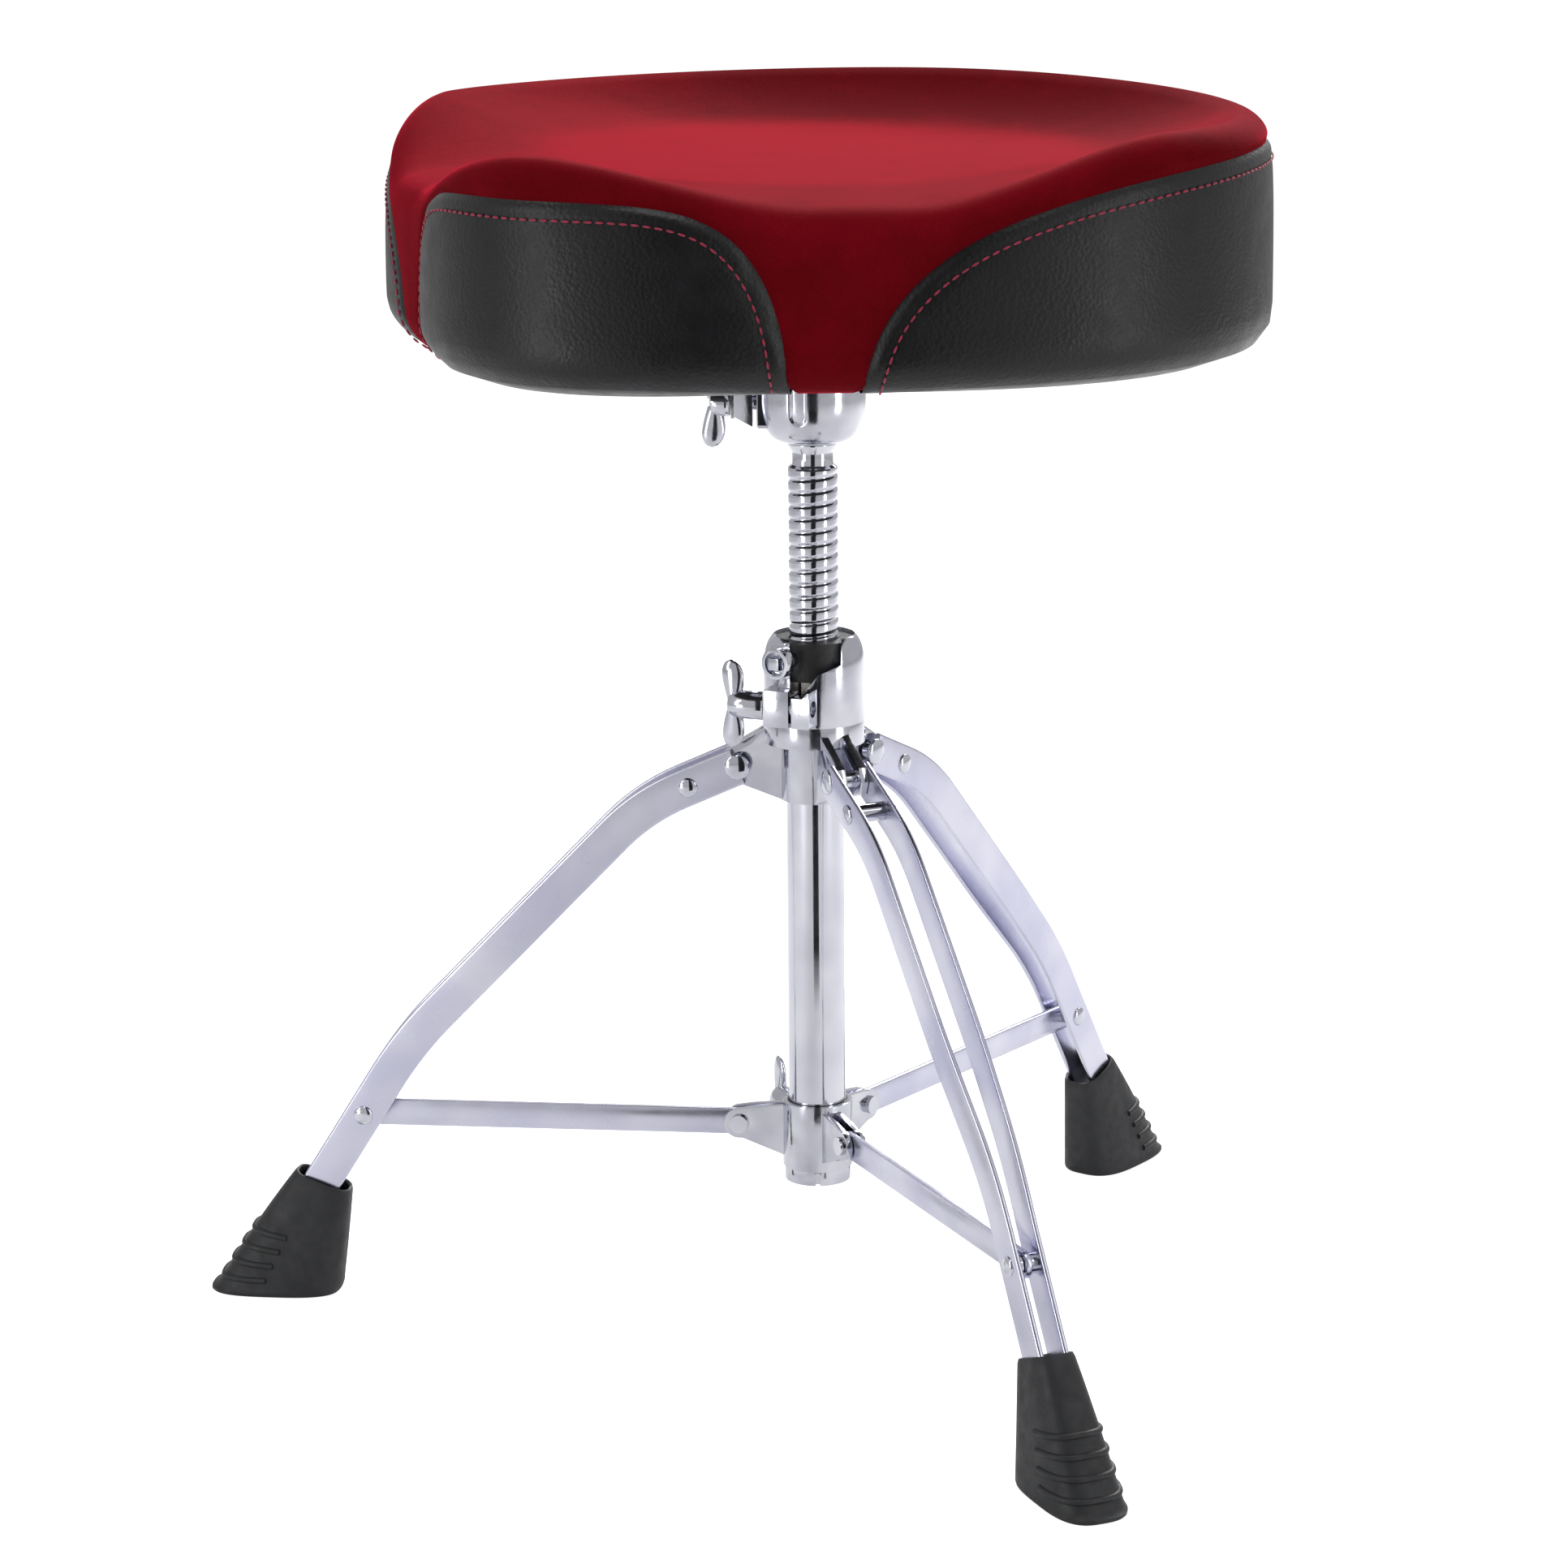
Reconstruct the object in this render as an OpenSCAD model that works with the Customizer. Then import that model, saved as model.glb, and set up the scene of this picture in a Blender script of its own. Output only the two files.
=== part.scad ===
// Drum throne: saddle seat on a threaded rod, with a folding double-braced tripod.
// Nose of the seat points to -Y, +Z is up, and the feet stand on z = 0.

/* [Column] */
// Outer diameter of the base tube
tube_d = 28.6; // [24:0.1:34]
// Wall of the base tube
tube_wall = 1.5; // [1:0.1:2]
// Pitch of the rod's thread
thread_pitch = 6.5; // [4:0.5:8]
// Depth of the rod's thread
thread_depth = 1.1; // [0.5:0.1:2]
// Length of rod that shows between the nut housing and the seat hub
rod_show = 93.6; // [70:0.1:120]
// Length of rod below the top of the nut housing
rod_inside = 136; // [100:1:160]

/* [Legs] */
// Length of a leg strip, measured along its curve from the hinge
leg_len = 356; // [290:1:430]
// Slope of the leg next to its hinge
leg_top_lean = 24; // [18:1:30]
// Slope of the leg's middle stretch
leg_mid_lean = 46; // [40:1:50]
// Slope of the leg above the foot
leg_low_lean = 58; // [52:1:64]
// Width of a leg strip
strip_w = 19; // [14:0.5:24]
// Thickness of a leg strip
strip_t = 2.8; // [2:0.1:4]
// Height of a stay bar
stay_w = 13.5; // [10:0.5:17]
// Thickness of a stay bar
stay_t = 3; // [2:0.1:4]

/* [Feet] */
// Length of a foot's sole
foot_len = 68; // [55:1:85]
// Width of a foot's sole
foot_w = 38; // [32:1:50]
// Height of a foot at its middle
foot_h = 60; // [50:1:70]

/* [Castings] */
// Outer diameter of the nut housing and leg collar
casting_d = 50; // [46:1:60]
// Height of the nut housing
housing_h = 44; // [40:1:54]
// Height of the leg collar
collar_h = 40; // [36:1:48]
// Wall of the sliding stay collar, liner included
slider_wall = 3.2; // [2.8:0.1:6]
// Height of the seat hub, flange included
hub_h = 51; // [46:1:60]
// Outer diameter of the seat hub's cup
hub_d = 52; // [46:1:62]
// Span of a wing bolt's wings
wing_span = 44; // [34:1:46]

/* [Seat] */
// Reach of the nose from the column
nose_reach = 225; // [190:1:270]
// Reach of the thigh recess from the column
recess_reach = 196; // [165:1:220]
// Reach of the hips from the column
hip_reach = 226; // [190:1:270]
// Reach of the rear edge from the column
rear_reach = 178; // [150:1:215]
// Height of the nose above the seat's underside
nose_h = 105; // [90:1:125]
// Height of the lip over the thigh recess
recess_h = 82; // [70:1:95]
// Height of the rear rim above the underside
rear_h = 116; // [100:1:140]
// Height of the seat's dish above the underside
dish_h = 86; // [75:1:100]
// Height of the nose panel above the underside
nose_panel_h = 88; // [75:1:92]
// Height of the rear panel above the underside
rear_panel_h = 100; // [80:1:104]
// Thickness of the plywood seat board
board_t = 12; // [9:1:18]
// Thickness of the covers
cover_t = 1.5; // [1:0.1:2.5]

/* [Hidden] */

// Clearances
run_gap = 0.08;      // a shaft that turns or slides in its bore
side_gap = 0.3;      // faces that swing past each other
soft_gap = 2.6;      // foam to its covers, before both are faceted
pocket_gap = 0.3;    // foam to the board
tiny = 0.01;

// Leg directions, as angles from +X
rear_dir = 90;
left_dir = -30;
right_dir = 210;

// Column radii
tube_r = tube_d / 2;
bore_r = tube_r - tube_wall;
rod_r = bore_r - 0.6;
root_r = rod_r - thread_depth;
neck_r = rod_r - 2.2;
casting_r = casting_d / 2;
slider_r = tube_r + slider_wall;

// Leg curve: distances along it from the hinge
upper_bend_at = 52;
upper_bend_half = 21;
lower_bend_at = leg_len - 129;
lower_bend_half = 23;
stay_at = leg_len - 83;
leg_steps = 44;
leg_step = leg_len / leg_steps;
foot_core_z = 26;

function ramp(x) = max(0, min(1, x));
function ease(x) = let (u = ramp(x)) u * u * (3 - 2 * u);
function mix(a, b, u) = a + (b - a) * u;

// Slope of the leg at distance s from the hinge
function leg_lean(s) = leg_top_lean
    + (leg_mid_lean - leg_top_lean) * ramp((s - upper_bend_at + upper_bend_half) / (2 * upper_bend_half))
    + (leg_low_lean - leg_mid_lean) * ramp((s - lower_bend_at + lower_bend_half) / (2 * lower_bend_half));

// The leg's centre line as [outward, up] from the hinge, one point a step
leg_line = [for (i = 0, p = [0, 0]; i <= leg_steps;
    p = p + leg_step * [cos(leg_lean((i + 0.5) * leg_step)), -sin(leg_lean((i + 0.5) * leg_step))],
    i = i + 1) p];

// Hinges of the legs and stays
leg_pin_r = 4;
leg_hinge_r = casting_r + 12.6;
leg_hinge_z = foot_core_z - leg_line[leg_steps][1];

// Point on the leg's centre line at distance s, as [outward, height]
function leg_point(s) =
    let (k = min(leg_steps - 1, max(0, floor(s / leg_step))),
         a = leg_line[k],
         b = leg_line[k + 1])
    [leg_hinge_r, leg_hinge_z] + a + (b - a) * (s - k * leg_step) / leg_step;

stay_joint = leg_point(stay_at);
stay_pin_r = 3;
slider_hinge_r = slider_r + 21.9;
slider_hinge_z = stay_joint[1];

// Heights along the column
collar_z0 = leg_hinge_z - 17;
housing_z0 = collar_z0 + collar_h;
housing_z1 = housing_z0 + housing_h;
hub_z0 = housing_z1 + rod_show;
seat_z0 = hub_z0 + hub_h;
slider_z0 = slider_hinge_z - 21;
slider_h = 34;
cap_h = 7;
cap_z0 = slider_z0 - side_gap - cap_h;
tube_top = housing_z0 + 8;
rod_z0 = housing_z1 - rod_inside;

// Leg hinge, across the leg
lug_half = 7.6;
lug_gap_half = 3.6;
lug_r = strip_w / 2;
strip_top_mid = lug_half + side_gap + strip_t / 2;
stay_stub_gap = 0.4;
strip_low_mid = stay_t / 2 + 3.5 + strip_t / 2;
head_h = 2;

// Height lock across the housing's split
split_dir = -75;
split_w = 1.6;
lock_offset = casting_r + 3;
lock_z = housing_z0 + 11;
bolt_r = 4;
wing_boss_r = 7;
// Seat of the height lock's wing, out past the casting where its boss sits
ear_out = ceil(2 * sqrt(pow(casting_r, 2) - pow(lock_offset - wing_boss_r, 2))) / 2;

// Seat hub clamp
hub_clamp_dir = 216;
hub_clamp_z = hub_z0 + 20;
hub_r = hub_d / 2;
flange_r = hub_r + 22;
flange_t = 6;
hub_screw_pcd = 2 * (hub_r + 13);
hub_screw_r = 3;

// Pad section
base_round = 21;
rim_round = 15;
dish_power = 4.5;
recess_dir = 37;
hip_dir = 95;
rise_from = 50;
rise_to = 86;
nose_panel_half = 33;
rear_panel_start = 43;
board_inset = base_round + 11;
dust_t = 0.8;
board_z0 = seat_z0 + dust_t;
board_z1 = board_z0 + board_t;

// The column stands behind the middle of the outline, so that the origin is that middle
foot_shift = 5.3;
column_y = (nose_reach - leg_point(leg_len)[0] - foot_shift - foot_len / 2) / 2;

module placed() translate([0, column_y, 0]) children();

// Turns children so that +X points outward along a leg
module toward(angle) rotate([0, 0, angle]) children();

// A plate drawn as [outward, up], from y0 to y1 across the leg
module plate(y0, y1) translate([0, y1, 0]) rotate([90, 0, 0]) linear_extrude(y1 - y0) children();

// A cylinder across the leg, from y0 to y1, about the point p = [outward, up]
module cross_pin(p, r, y0, y1) translate([p[0], y1, p[1]]) rotate([90, 0, 0]) cylinder(r = r, h = y1 - y0, $fn = 48);

// A tube between two heights
module sleeve(r_out, r_in, z0, z1) translate([0, 0, z0]) difference() {
    cylinder(r = r_out, h = z1 - z0, $fn = 96);
    translate([0, 0, -1]) cylinder(r = r_in, h = z1 - z0 + 2, $fn = 96);
}

// Faces of a closed skin of n rings with m points each, both ends capped
function skin_faces(n, m) = concat(
    [[for (j = [0 : m - 1]) m - 1 - j]],
    [for (i = [0 : n - 2], j = [0 : m - 1]) [i * m + j, i * m + (j + 1) % m, (i + 1) * m + (j + 1) % m]],
    [for (i = [0 : n - 2], j = [0 : m - 1]) [i * m + j, (i + 1) * m + (j + 1) % m, (i + 1) * m + j]],
    [[for (j = [0 : m - 1]) (n - 1) * m + j]]);

// ---------------------------------------------------------------- column

module base_tube() color("gainsboro") sleeve(tube_r, bore_r, cap_z0 + cap_h, tube_top);

module tube_end_cap() color("silver") difference() {
    union() {
        sleeve(slider_r - 1, bore_r - 3, cap_z0, cap_z0 + cap_h);
        sleeve(bore_r, bore_r - 3, cap_z0 + cap_h, cap_z0 + cap_h + 12);
    }
    // slot in the rim, at the front
    toward(-54) translate([slider_r - 4, -1, cap_z0 - 1]) cube([8, 2, cap_h - 1]);
}

module leg_collar() color("silver") difference() {
    union() {
        sleeve(casting_r, tube_r, housing_z0 - 11, housing_z0);
        sleeve(tube_r + 3.2, tube_r, collar_z0, housing_z0);
        for (a = [rear_dir, left_dir, right_dir]) toward(a)
            for (s = [-1, 1]) plate(min(s * lug_gap_half, s * lug_half), max(s * lug_gap_half, s * lug_half))
                polygon([[tube_r + 1, collar_z0], [leg_hinge_r - 2, leg_hinge_z - lug_r],
                    [leg_hinge_r + lug_r * 0.7, leg_hinge_z - lug_r * 0.7],
                    [leg_hinge_r + lug_r, leg_hinge_z],
                    [leg_hinge_r + lug_r * 0.7, leg_hinge_z + lug_r * 0.7],
                    [casting_r - 1, housing_z0 - 4], [tube_r + 1, housing_z0 - 4]]);
    }
    for (a = [rear_dir, left_dir, right_dir]) toward(a)
        cross_pin([leg_hinge_r, leg_hinge_z], leg_pin_r + run_gap, -lug_half - 1, lug_half + 1);
    for (a = [rear_dir - 60, left_dir + 180]) toward(a)
        translate([tube_r - 1, 0, housing_z0 - 5.5]) rotate([0, 90, 0]) cylinder(r = 2.5, h = casting_r, $fn = 32);
}

// Two grub screws that hold the collar on the tube, flush with the casting
module collar_grub_screws() color("dimgray")
    for (a = [rear_dir - 60, left_dir + 180]) toward(a)
        translate([tube_r, 0, housing_z0 - 5.5]) rotate([0, 90, 0]) difference() {
            cylinder(r = 2.5, h = casting_r - tube_r - 0.6, $fn = 32);
            translate([0, 0, casting_r - tube_r - 3.6]) cylinder(r = 1.3, h = 4, $fn = 6);
        }

// Nut housing: a round-shouldered casting with a split and a slanting window at the front
window_lift = 17;
module nut_housing() color("silver") difference() {
    union() {
        translate([0, 0, housing_z0]) rotate_extrude($fn = 96) polygon(concat(
            [[tube_r - 0.5, 0], [casting_r, 0], [casting_r, housing_h - 16]],
            [for (a = [10 : 10 : 80]) [casting_r - 8 + 8 * cos(a), housing_h - 16 + 16 * sin(a)]],
            [[casting_r - 8, housing_h], [tube_r - 0.5, housing_h]]));
        // ears of the split
        toward(split_dir) translate([casting_r - 8, -ear_out, housing_z0 + 2]) cube([17, ear_out + 10, 18]);
        // boss of the key bolt
        translate([0, -casting_r + 4, housing_z1 - 11]) rotate([90, 0, 0]) cylinder(r = 9, h = 6, $fn = 48);
    }
    // bore for the tube, the nut and the bush
    translate([0, 0, housing_z0 - 1]) cylinder(r = tube_r, h = tube_top - housing_z0 + 1, $fn = 96);
    translate([0, 0, tube_top - tiny]) cylinder(r = casting_r - 5, h = housing_h, $fn = 96);
    // split
    toward(split_dir) translate([0, -split_w / 2, housing_z0 + 1]) cube([casting_r + 20, split_w, housing_h]);
    // window that shows the bush
    toward(-54) translate([6, 0, housing_z0 + window_lift]) rotate([90, 0, 90]) linear_extrude(40)
        polygon([[-12, 0], [-6, 0], [2, 10], [13, 14], [14, housing_h], [-12, housing_h]]);
    // height lock
    toward(split_dir) translate([lock_offset, 30, lock_z]) rotate([90, 0, 0])
        cylinder(r = bolt_r + run_gap, h = 60, $fn = 48);
    // key bolt
    translate([0, -10, housing_z1 - 11]) rotate([90, 0, 0]) cylinder(r = bolt_r, h = casting_r, $fn = 48);
}

// Steel nut that carries the rod's thread, held in the housing
nut_z1 = tube_top + 14;
module thread_nut() color("goldenrod") difference() {
    sleeve(casting_r - 5, rod_r + run_gap, tube_top, nut_z1);
    toward(split_dir) translate([0, -split_w / 2, tube_top - 1]) cube([casting_r, split_w, 20]);
}

// Plastic bush that guides the rod at the mouth of the housing
module guide_bush() color([0.12, 0.12, 0.13]) difference() {
    sleeve(casting_r - 5, rod_r + side_gap, nut_z1, housing_z1 - 3);
    // seat of the key bolt's tip
    translate([0, -rod_r - 3, housing_z1 - 11]) rotate([90, 0, 0]) cylinder(r = bolt_r, h = casting_r, $fn = 48);
}

// Drum-key bolt: round head with a square key end
module key_bolt() color("silver") translate([0, 0, housing_z1 - 11]) rotate([90, 0, 0]) {
    translate([0, 0, rod_r + 3.2]) cylinder(r = bolt_r - 0.1, h = casting_r + 2 - rod_r - 3.2, $fn = 48);
    translate([0, 0, casting_r + 2]) difference() {
        cylinder(r = 7.8, h = 6, $fn = 64);
        translate([0, 0, 2]) cylinder(r = 5.8, h = 6, $fn = 64);
    }
    translate([-3, -3, casting_r + 3]) cube([6, 6, 6]);
}

// Wing bolt along +X: the shank goes back from x = 0, the boss and wings stand forward
module wing_bolt(shank, boss, r = bolt_r) {
    wing_r = wing_span / 2;
    translate([-shank, 0, 0]) rotate([0, 90, 0]) cylinder(r = r, h = shank + 1, $fn = 48);
    rotate([0, 90, 0]) cylinder(r = wing_boss_r, h = boss + 6, $fn = 48);
    for (s = [0, 180]) rotate([s, 0, 0]) translate([0, 3, 0]) rotate([90, 0, 0]) linear_extrude(6) {
        polygon([[boss - 2, 0], [boss + 9, 0], [boss + 9.5, wing_r - 10],
            [boss + 7.5, wing_r - 3.5], [boss + 0.5, wing_r - 3.5], [boss - 1, wing_r - 10]]);
        translate([boss + 4, wing_r - 3.5]) circle(r = 3.5, $fn = 32);
    }
}

// Height lock: squeezes the split housing on the nut
wing_clear = 2.5;
lock_face = casting_r - 13;
module height_wing_bolt() color("silver")
    toward(split_dir) translate([lock_offset, 0, lock_z]) rotate([0, 0, -90])
        translate([ear_out + side_gap, 0, 0]) wing_bolt(ear_out + 8, casting_r + wing_clear - ear_out);

// ---------------------------------------------------------------- sliding stay collar

stay_lug_gap_half = stay_t / 2 + 0.5;
stay_lug_half = stay_lug_gap_half + 3;
stay_lug_r = stay_w / 2 + 0.8;
liner_wall = 1;
collar_wing_dir = 150;

module stay_collar() color("silver") difference() {
    union() {
        sleeve(slider_r, tube_r + run_gap + liner_wall, slider_z0, slider_z0 + slider_h);
        for (a = [rear_dir, left_dir, right_dir]) toward(a)
            for (s = [-1, 1]) plate(min(s * stay_lug_gap_half, s * stay_lug_half),
                max(s * stay_lug_gap_half, s * stay_lug_half)) {
                polygon([[slider_r - 1, slider_z0 + 5], [slider_hinge_r - 2, slider_hinge_z - stay_lug_r],
                    [slider_hinge_r, slider_hinge_z - stay_lug_r], [slider_hinge_r, slider_hinge_z + stay_lug_r],
                    [slider_hinge_r - 6, slider_hinge_z + stay_lug_r + 1],
                    [slider_r - 1, slider_z0 + slider_h - 3]]);
                translate([slider_hinge_r, slider_hinge_z]) circle(r = stay_lug_r, $fn = 48);
            }
        // boss of the collar's wing bolt
        toward(collar_wing_dir) translate([slider_r - 1.9, 0, slider_hinge_z]) rotate([0, 90, 0])
            cylinder(r = 8, h = 10.9, $fn = 48);
    }
    for (a = [rear_dir, left_dir, right_dir]) toward(a)
        cross_pin([slider_hinge_r, slider_hinge_z], stay_pin_r, -stay_lug_half - 1, stay_lug_half + 1);
    toward(collar_wing_dir) translate([tube_r, 0, slider_hinge_z]) rotate([0, 90, 0])
        cylinder(r = bolt_r + run_gap, h = 40, $fn = 48);
}

module collar_liner() color([0.12, 0.12, 0.13]) difference() {
    sleeve(tube_r + run_gap + liner_wall, tube_r + run_gap, slider_z0, slider_z0 + slider_h);
    toward(collar_wing_dir) translate([tube_r - 2, 0, slider_hinge_z]) rotate([0, 90, 0])
        cylinder(r = bolt_r + run_gap, h = 10, $fn = 48);
}

module stay_pivot_pins() color("gainsboro")
    for (a = [rear_dir, left_dir, right_dir]) toward(a) {
        cross_pin([slider_hinge_r, slider_hinge_z], stay_pin_r, -stay_lug_half, stay_lug_half);
        for (s = [-1, 1]) cross_pin([slider_hinge_r, slider_hinge_z], 4.6,
            s > 0 ? stay_lug_half : -stay_lug_half - head_h, s > 0 ? stay_lug_half + head_h : -stay_lug_half);
    }

module collar_wing_bolt() color("silver")
    toward(collar_wing_dir) translate([slider_r + 9 + side_gap, 0, slider_hinge_z])
        wing_bolt(slider_r + 9 - tube_r - 0.1, 16);

// ---------------------------------------------------------------- legs

// Distance of a strip's middle from the leg's middle plane
function strip_mid(s) = mix(strip_top_mid, strip_low_mid, ease((s - 150) / (stay_at - 10 - 150)));

// One ring of the strip at distance s, hw half the width there
function strip_ring(s, hw) =
    let (p = leg_point(s), lean = leg_lean(s), m = strip_mid(s), h = strip_t / 2, c = 0.8,
         section = [[hw, c - h], [hw, h - c], [hw - c, h], [c - hw, h],
                    [-hw, h - c], [-hw, c - h], [c - hw, -h], [hw - c, -h]])
    [for (q = section) [p[0] + q[0] * sin(lean), m + q[1], p[1] + q[0] * cos(lean)]];

module strip_body() {
    hw = strip_w / 2;
    rings = concat([for (a = [75, 50, 25]) strip_ring(-hw * sin(a), max(2, hw * cos(a)))],
        [for (i = [0 : leg_steps]) strip_ring(i * leg_step, hw)]);
    n = len(rings);
    polyhedron(points = [for (r = rings, p = r) p], faces = skin_faces(n, 8));
}

spacer_at = 27;
module leg_strip(side) color("gainsboro") mirror([0, side < 0 ? 1 : 0, 0]) difference() {
    strip_body();
    cross_pin([leg_hinge_r, leg_hinge_z], leg_pin_r, 0, 20);
    cross_pin(leg_point(spacer_at), 3, 0, 20);
    cross_pin(stay_joint, stay_pin_r, 0, 20);
}

strip_out = strip_top_mid + strip_t / 2;
strip_in = strip_top_mid - strip_t / 2;

// Rivet on which the leg swings in the collar's lugs
module leg_pin() color("gainsboro") {
    cross_pin([leg_hinge_r, leg_hinge_z], leg_pin_r, -strip_out, strip_out);
    for (y = [-strip_out - head_h, strip_out]) cross_pin([leg_hinge_r, leg_hinge_z], 6.6, y, y + head_h);
}

// Shouldered rivet that holds the two strips apart
module leg_spacer() color("gainsboro") {
    cross_pin(leg_point(spacer_at), 4.6, -strip_in, strip_in);
    cross_pin(leg_point(spacer_at), 3, -strip_out, strip_out);
    for (y = [-strip_out - 1.2, strip_out]) cross_pin(leg_point(spacer_at), 4.6, y, y + 1.2);
}

// Two stub rivets that hold the stay's eye between them
module stay_rivets() color("gainsboro") for (s = [0, 1]) mirror([0, s, 0]) {
    low_in = strip_low_mid - strip_t / 2;
    low_out = strip_low_mid + strip_t / 2;
    cross_pin(stay_joint, 5, stay_t / 2 + stay_stub_gap, low_in);
    cross_pin(stay_joint, stay_pin_r, low_in - 0.2, low_out + 0.2);
    cross_pin(stay_joint, 5, low_out, low_out + head_h);
}

// Half length, half width, middle and height of the foot at h = 0 (sole) to 1 (mouth)
foot_rings = 12;
foot_points = 28;
mouth_half_len = strip_w / 2 + 4.6;
mouth_half_w = strip_low_mid + strip_t / 2 + 3;
mouth_tilt = 0.45;
foot_mid = leg_point(leg_len)[0] + foot_shift;
mouth_mid = leg_point(leg_len)[0] - (foot_h - foot_core_z) / tan(leg_low_lean);

// Rounded-square outline: 1 at the middle of each side
function squircle(a, n = 3) = pow(pow(abs(cos(a)), n) + pow(abs(sin(a)), n), -1 / n);

function foot_ring(h) =
    let (soft = h <= 0 ? 2.5 : 0,
         a = mix(foot_len / 2, mouth_half_len, h) - soft,
         b = mix(foot_w / 2, mouth_half_w, h) - soft,
         mid = mix(foot_mid, mouth_mid, h))
    [for (j = [0 : foot_points - 1])
        let (t = 360 * j / foot_points, k = squircle(t), x = a * k * cos(t))
        [mid + x, b * k * sin(t), max(0, h) * foot_h + mouth_tilt * x * max(0, h - 0.15)]];

module foot() color([0.13, 0.13, 0.14]) difference() {
    polyhedron(
        points = concat(foot_ring(0), [for (p = foot_ring(tiny)) [p[0], p[1], 2.5]],
            [for (i = [1 : foot_rings], p = foot_ring(i / foot_rings)) p]),
        faces = skin_faces(foot_rings + 2, foot_points));
    // sockets for the two strips
    for (s = [-1, 1]) translate([leg_point(leg_len)[0], s * strip_low_mid, foot_core_z])
        rotate([0, leg_low_lean, 0]) translate([-90, -strip_t / 2, -strip_w / 2]) cube([90, strip_t, strip_w]);
}

module stay() color("gainsboro") difference() {
    plate(-stay_t / 2, stay_t / 2) {
        translate([slider_hinge_r, slider_hinge_z - stay_w / 2]) square([stay_joint[0] - slider_hinge_r, stay_w]);
        translate([slider_hinge_r, slider_hinge_z]) circle(r = stay_w / 2, $fn = 64);
        translate([stay_joint[0], slider_hinge_z]) circle(r = stay_w / 2, $fn = 64);
    }
    cross_pin([slider_hinge_r, slider_hinge_z], stay_pin_r + run_gap, -5, 5);
    cross_pin(stay_joint, stay_pin_r + run_gap, -5, 5);
}

// ---------------------------------------------------------------- rod

journal_h = 12;
journal_r = 8.95;

// Nylon guide that slides in the tube while the rod turns in it
module rod_guide() color("whitesmoke")
    sleeve(bore_r - run_gap, journal_r + run_gap, rod_z0 + 0.2, rod_z0 + journal_h - 0.2);

thread_z0 = rod_z0 + journal_h + 4;
thread_z1 = hub_z0 - 12.5;
thread_turns = floor((thread_z1 - thread_z0) / thread_pitch);
spigot_h = hub_h - 8;

module threaded_rod() color("gainsboro") rotate_extrude($fn = 96) polygon(concat(
    [[0, rod_z0], [journal_r, rod_z0], [journal_r, rod_z0 + journal_h], [rod_r, rod_z0 + journal_h]],
    [for (i = [0 : thread_turns - 1], k = [0 : 3])
        let (z = thread_z1 - (thread_turns - i) * thread_pitch)
        [k == 0 || k == 3 ? rod_r : root_r, z + [0, 0.8, 1.8, 2.6][k]]],
    [[rod_r, thread_z1], [neck_r, thread_z1 + 2], [neck_r, hub_z0 - 4], [rod_r + 0.2, hub_z0 - 0.5],
     [rod_r + 0.2, hub_z0], [neck_r, hub_z0], [neck_r, hub_z0 + spigot_h], [0, hub_z0 + spigot_h]]));

module rod_end_washer() color("silver") sleeve(journal_r + 2.5, 3, rod_z0 - 2, rod_z0);

module rod_end_screw() color("dimgray") translate([0, 0, rod_z0 - 2]) {
    translate([0, 0, -4]) cylinder(r = 5, h = 4, $fn = 48);
    cylinder(r = 3, h = 2, $fn = 48);
}

// ---------------------------------------------------------------- seat hub

function pad_r(a) =
    let (p = abs(((a + 90 + 540) % 360) - 180))
    p < recess_dir ? mix(nose_reach, recess_reach, (1 - cos(180 * p / recess_dir)) / 2)
    : p < hip_dir ? mix(recess_reach, hip_reach, (1 - cos(180 * (p - recess_dir) / (hip_dir - recess_dir))) / 2)
    : mix(hip_reach, rear_reach, (1 - cos(180 * (p - hip_dir) / (180 - hip_dir))) / 2);

module seat_hub() color("silver") difference() {
    union() {
        rotate_extrude($fn = 96) polygon([[neck_r, hub_z0], [rod_r + 1.4, hub_z0], [rod_r + 4, hub_z0 + 1.5],
            [hub_r - 4.5, hub_z0 + 9], [hub_r - 1.2, hub_z0 + 15], [hub_r, hub_z0 + 22], [hub_r, seat_z0 - 14],
            [hub_r + 4, seat_z0 - flange_t], [flange_r, seat_z0 - flange_t], [flange_r, seat_z0],
            [neck_r, seat_z0]]);
        toward(hub_clamp_dir) translate([hub_r - 8, -9, hub_z0 + 8]) cube([9, 18, 26]);
    }
    // hollow above the spigot
    translate([0, 0, hub_z0 + spigot_h]) cylinder(r = neck_r + 4, h = 20, $fn = 64);
    toward(hub_clamp_dir) translate([neck_r - 1, 0, hub_clamp_z]) rotate([0, 90, 0])
        cylinder(r = bolt_r + run_gap, h = 40, $fn = 48);
    for (i = [0 : 3]) rotate([0, 0, 45 + 90 * i]) translate([hub_screw_pcd / 2, 0, seat_z0 - 20])
        cylinder(r = hub_screw_r + 0.3, h = 30, $fn = 32);
    // U-shaped relief in the front of the cup
    toward(-70) translate([hub_r - 1.2, -4, hub_z0 + 12]) cube([5, 8, 16]);
}

jaw_x = hub_r + 3;
jaw_t = 9;
jaw_z1 = seat_z0 - flange_t - 3.5;
// Clamp jaw outside the split of the hub
module clamp_jaw() color("silver") toward(hub_clamp_dir) difference() {
    plate(-8, 8) polygon([[jaw_x, hub_z0 + 9], [jaw_x + jaw_t, hub_z0 + 14], [jaw_x + jaw_t, jaw_z1 - 2],
        [jaw_x + jaw_t - 2, jaw_z1], [jaw_x, jaw_z1]]);
    translate([0, 0, hub_clamp_z]) rotate([0, 90, 0]) cylinder(r = bolt_r + run_gap, h = 80, $fn = 48);
}

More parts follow.
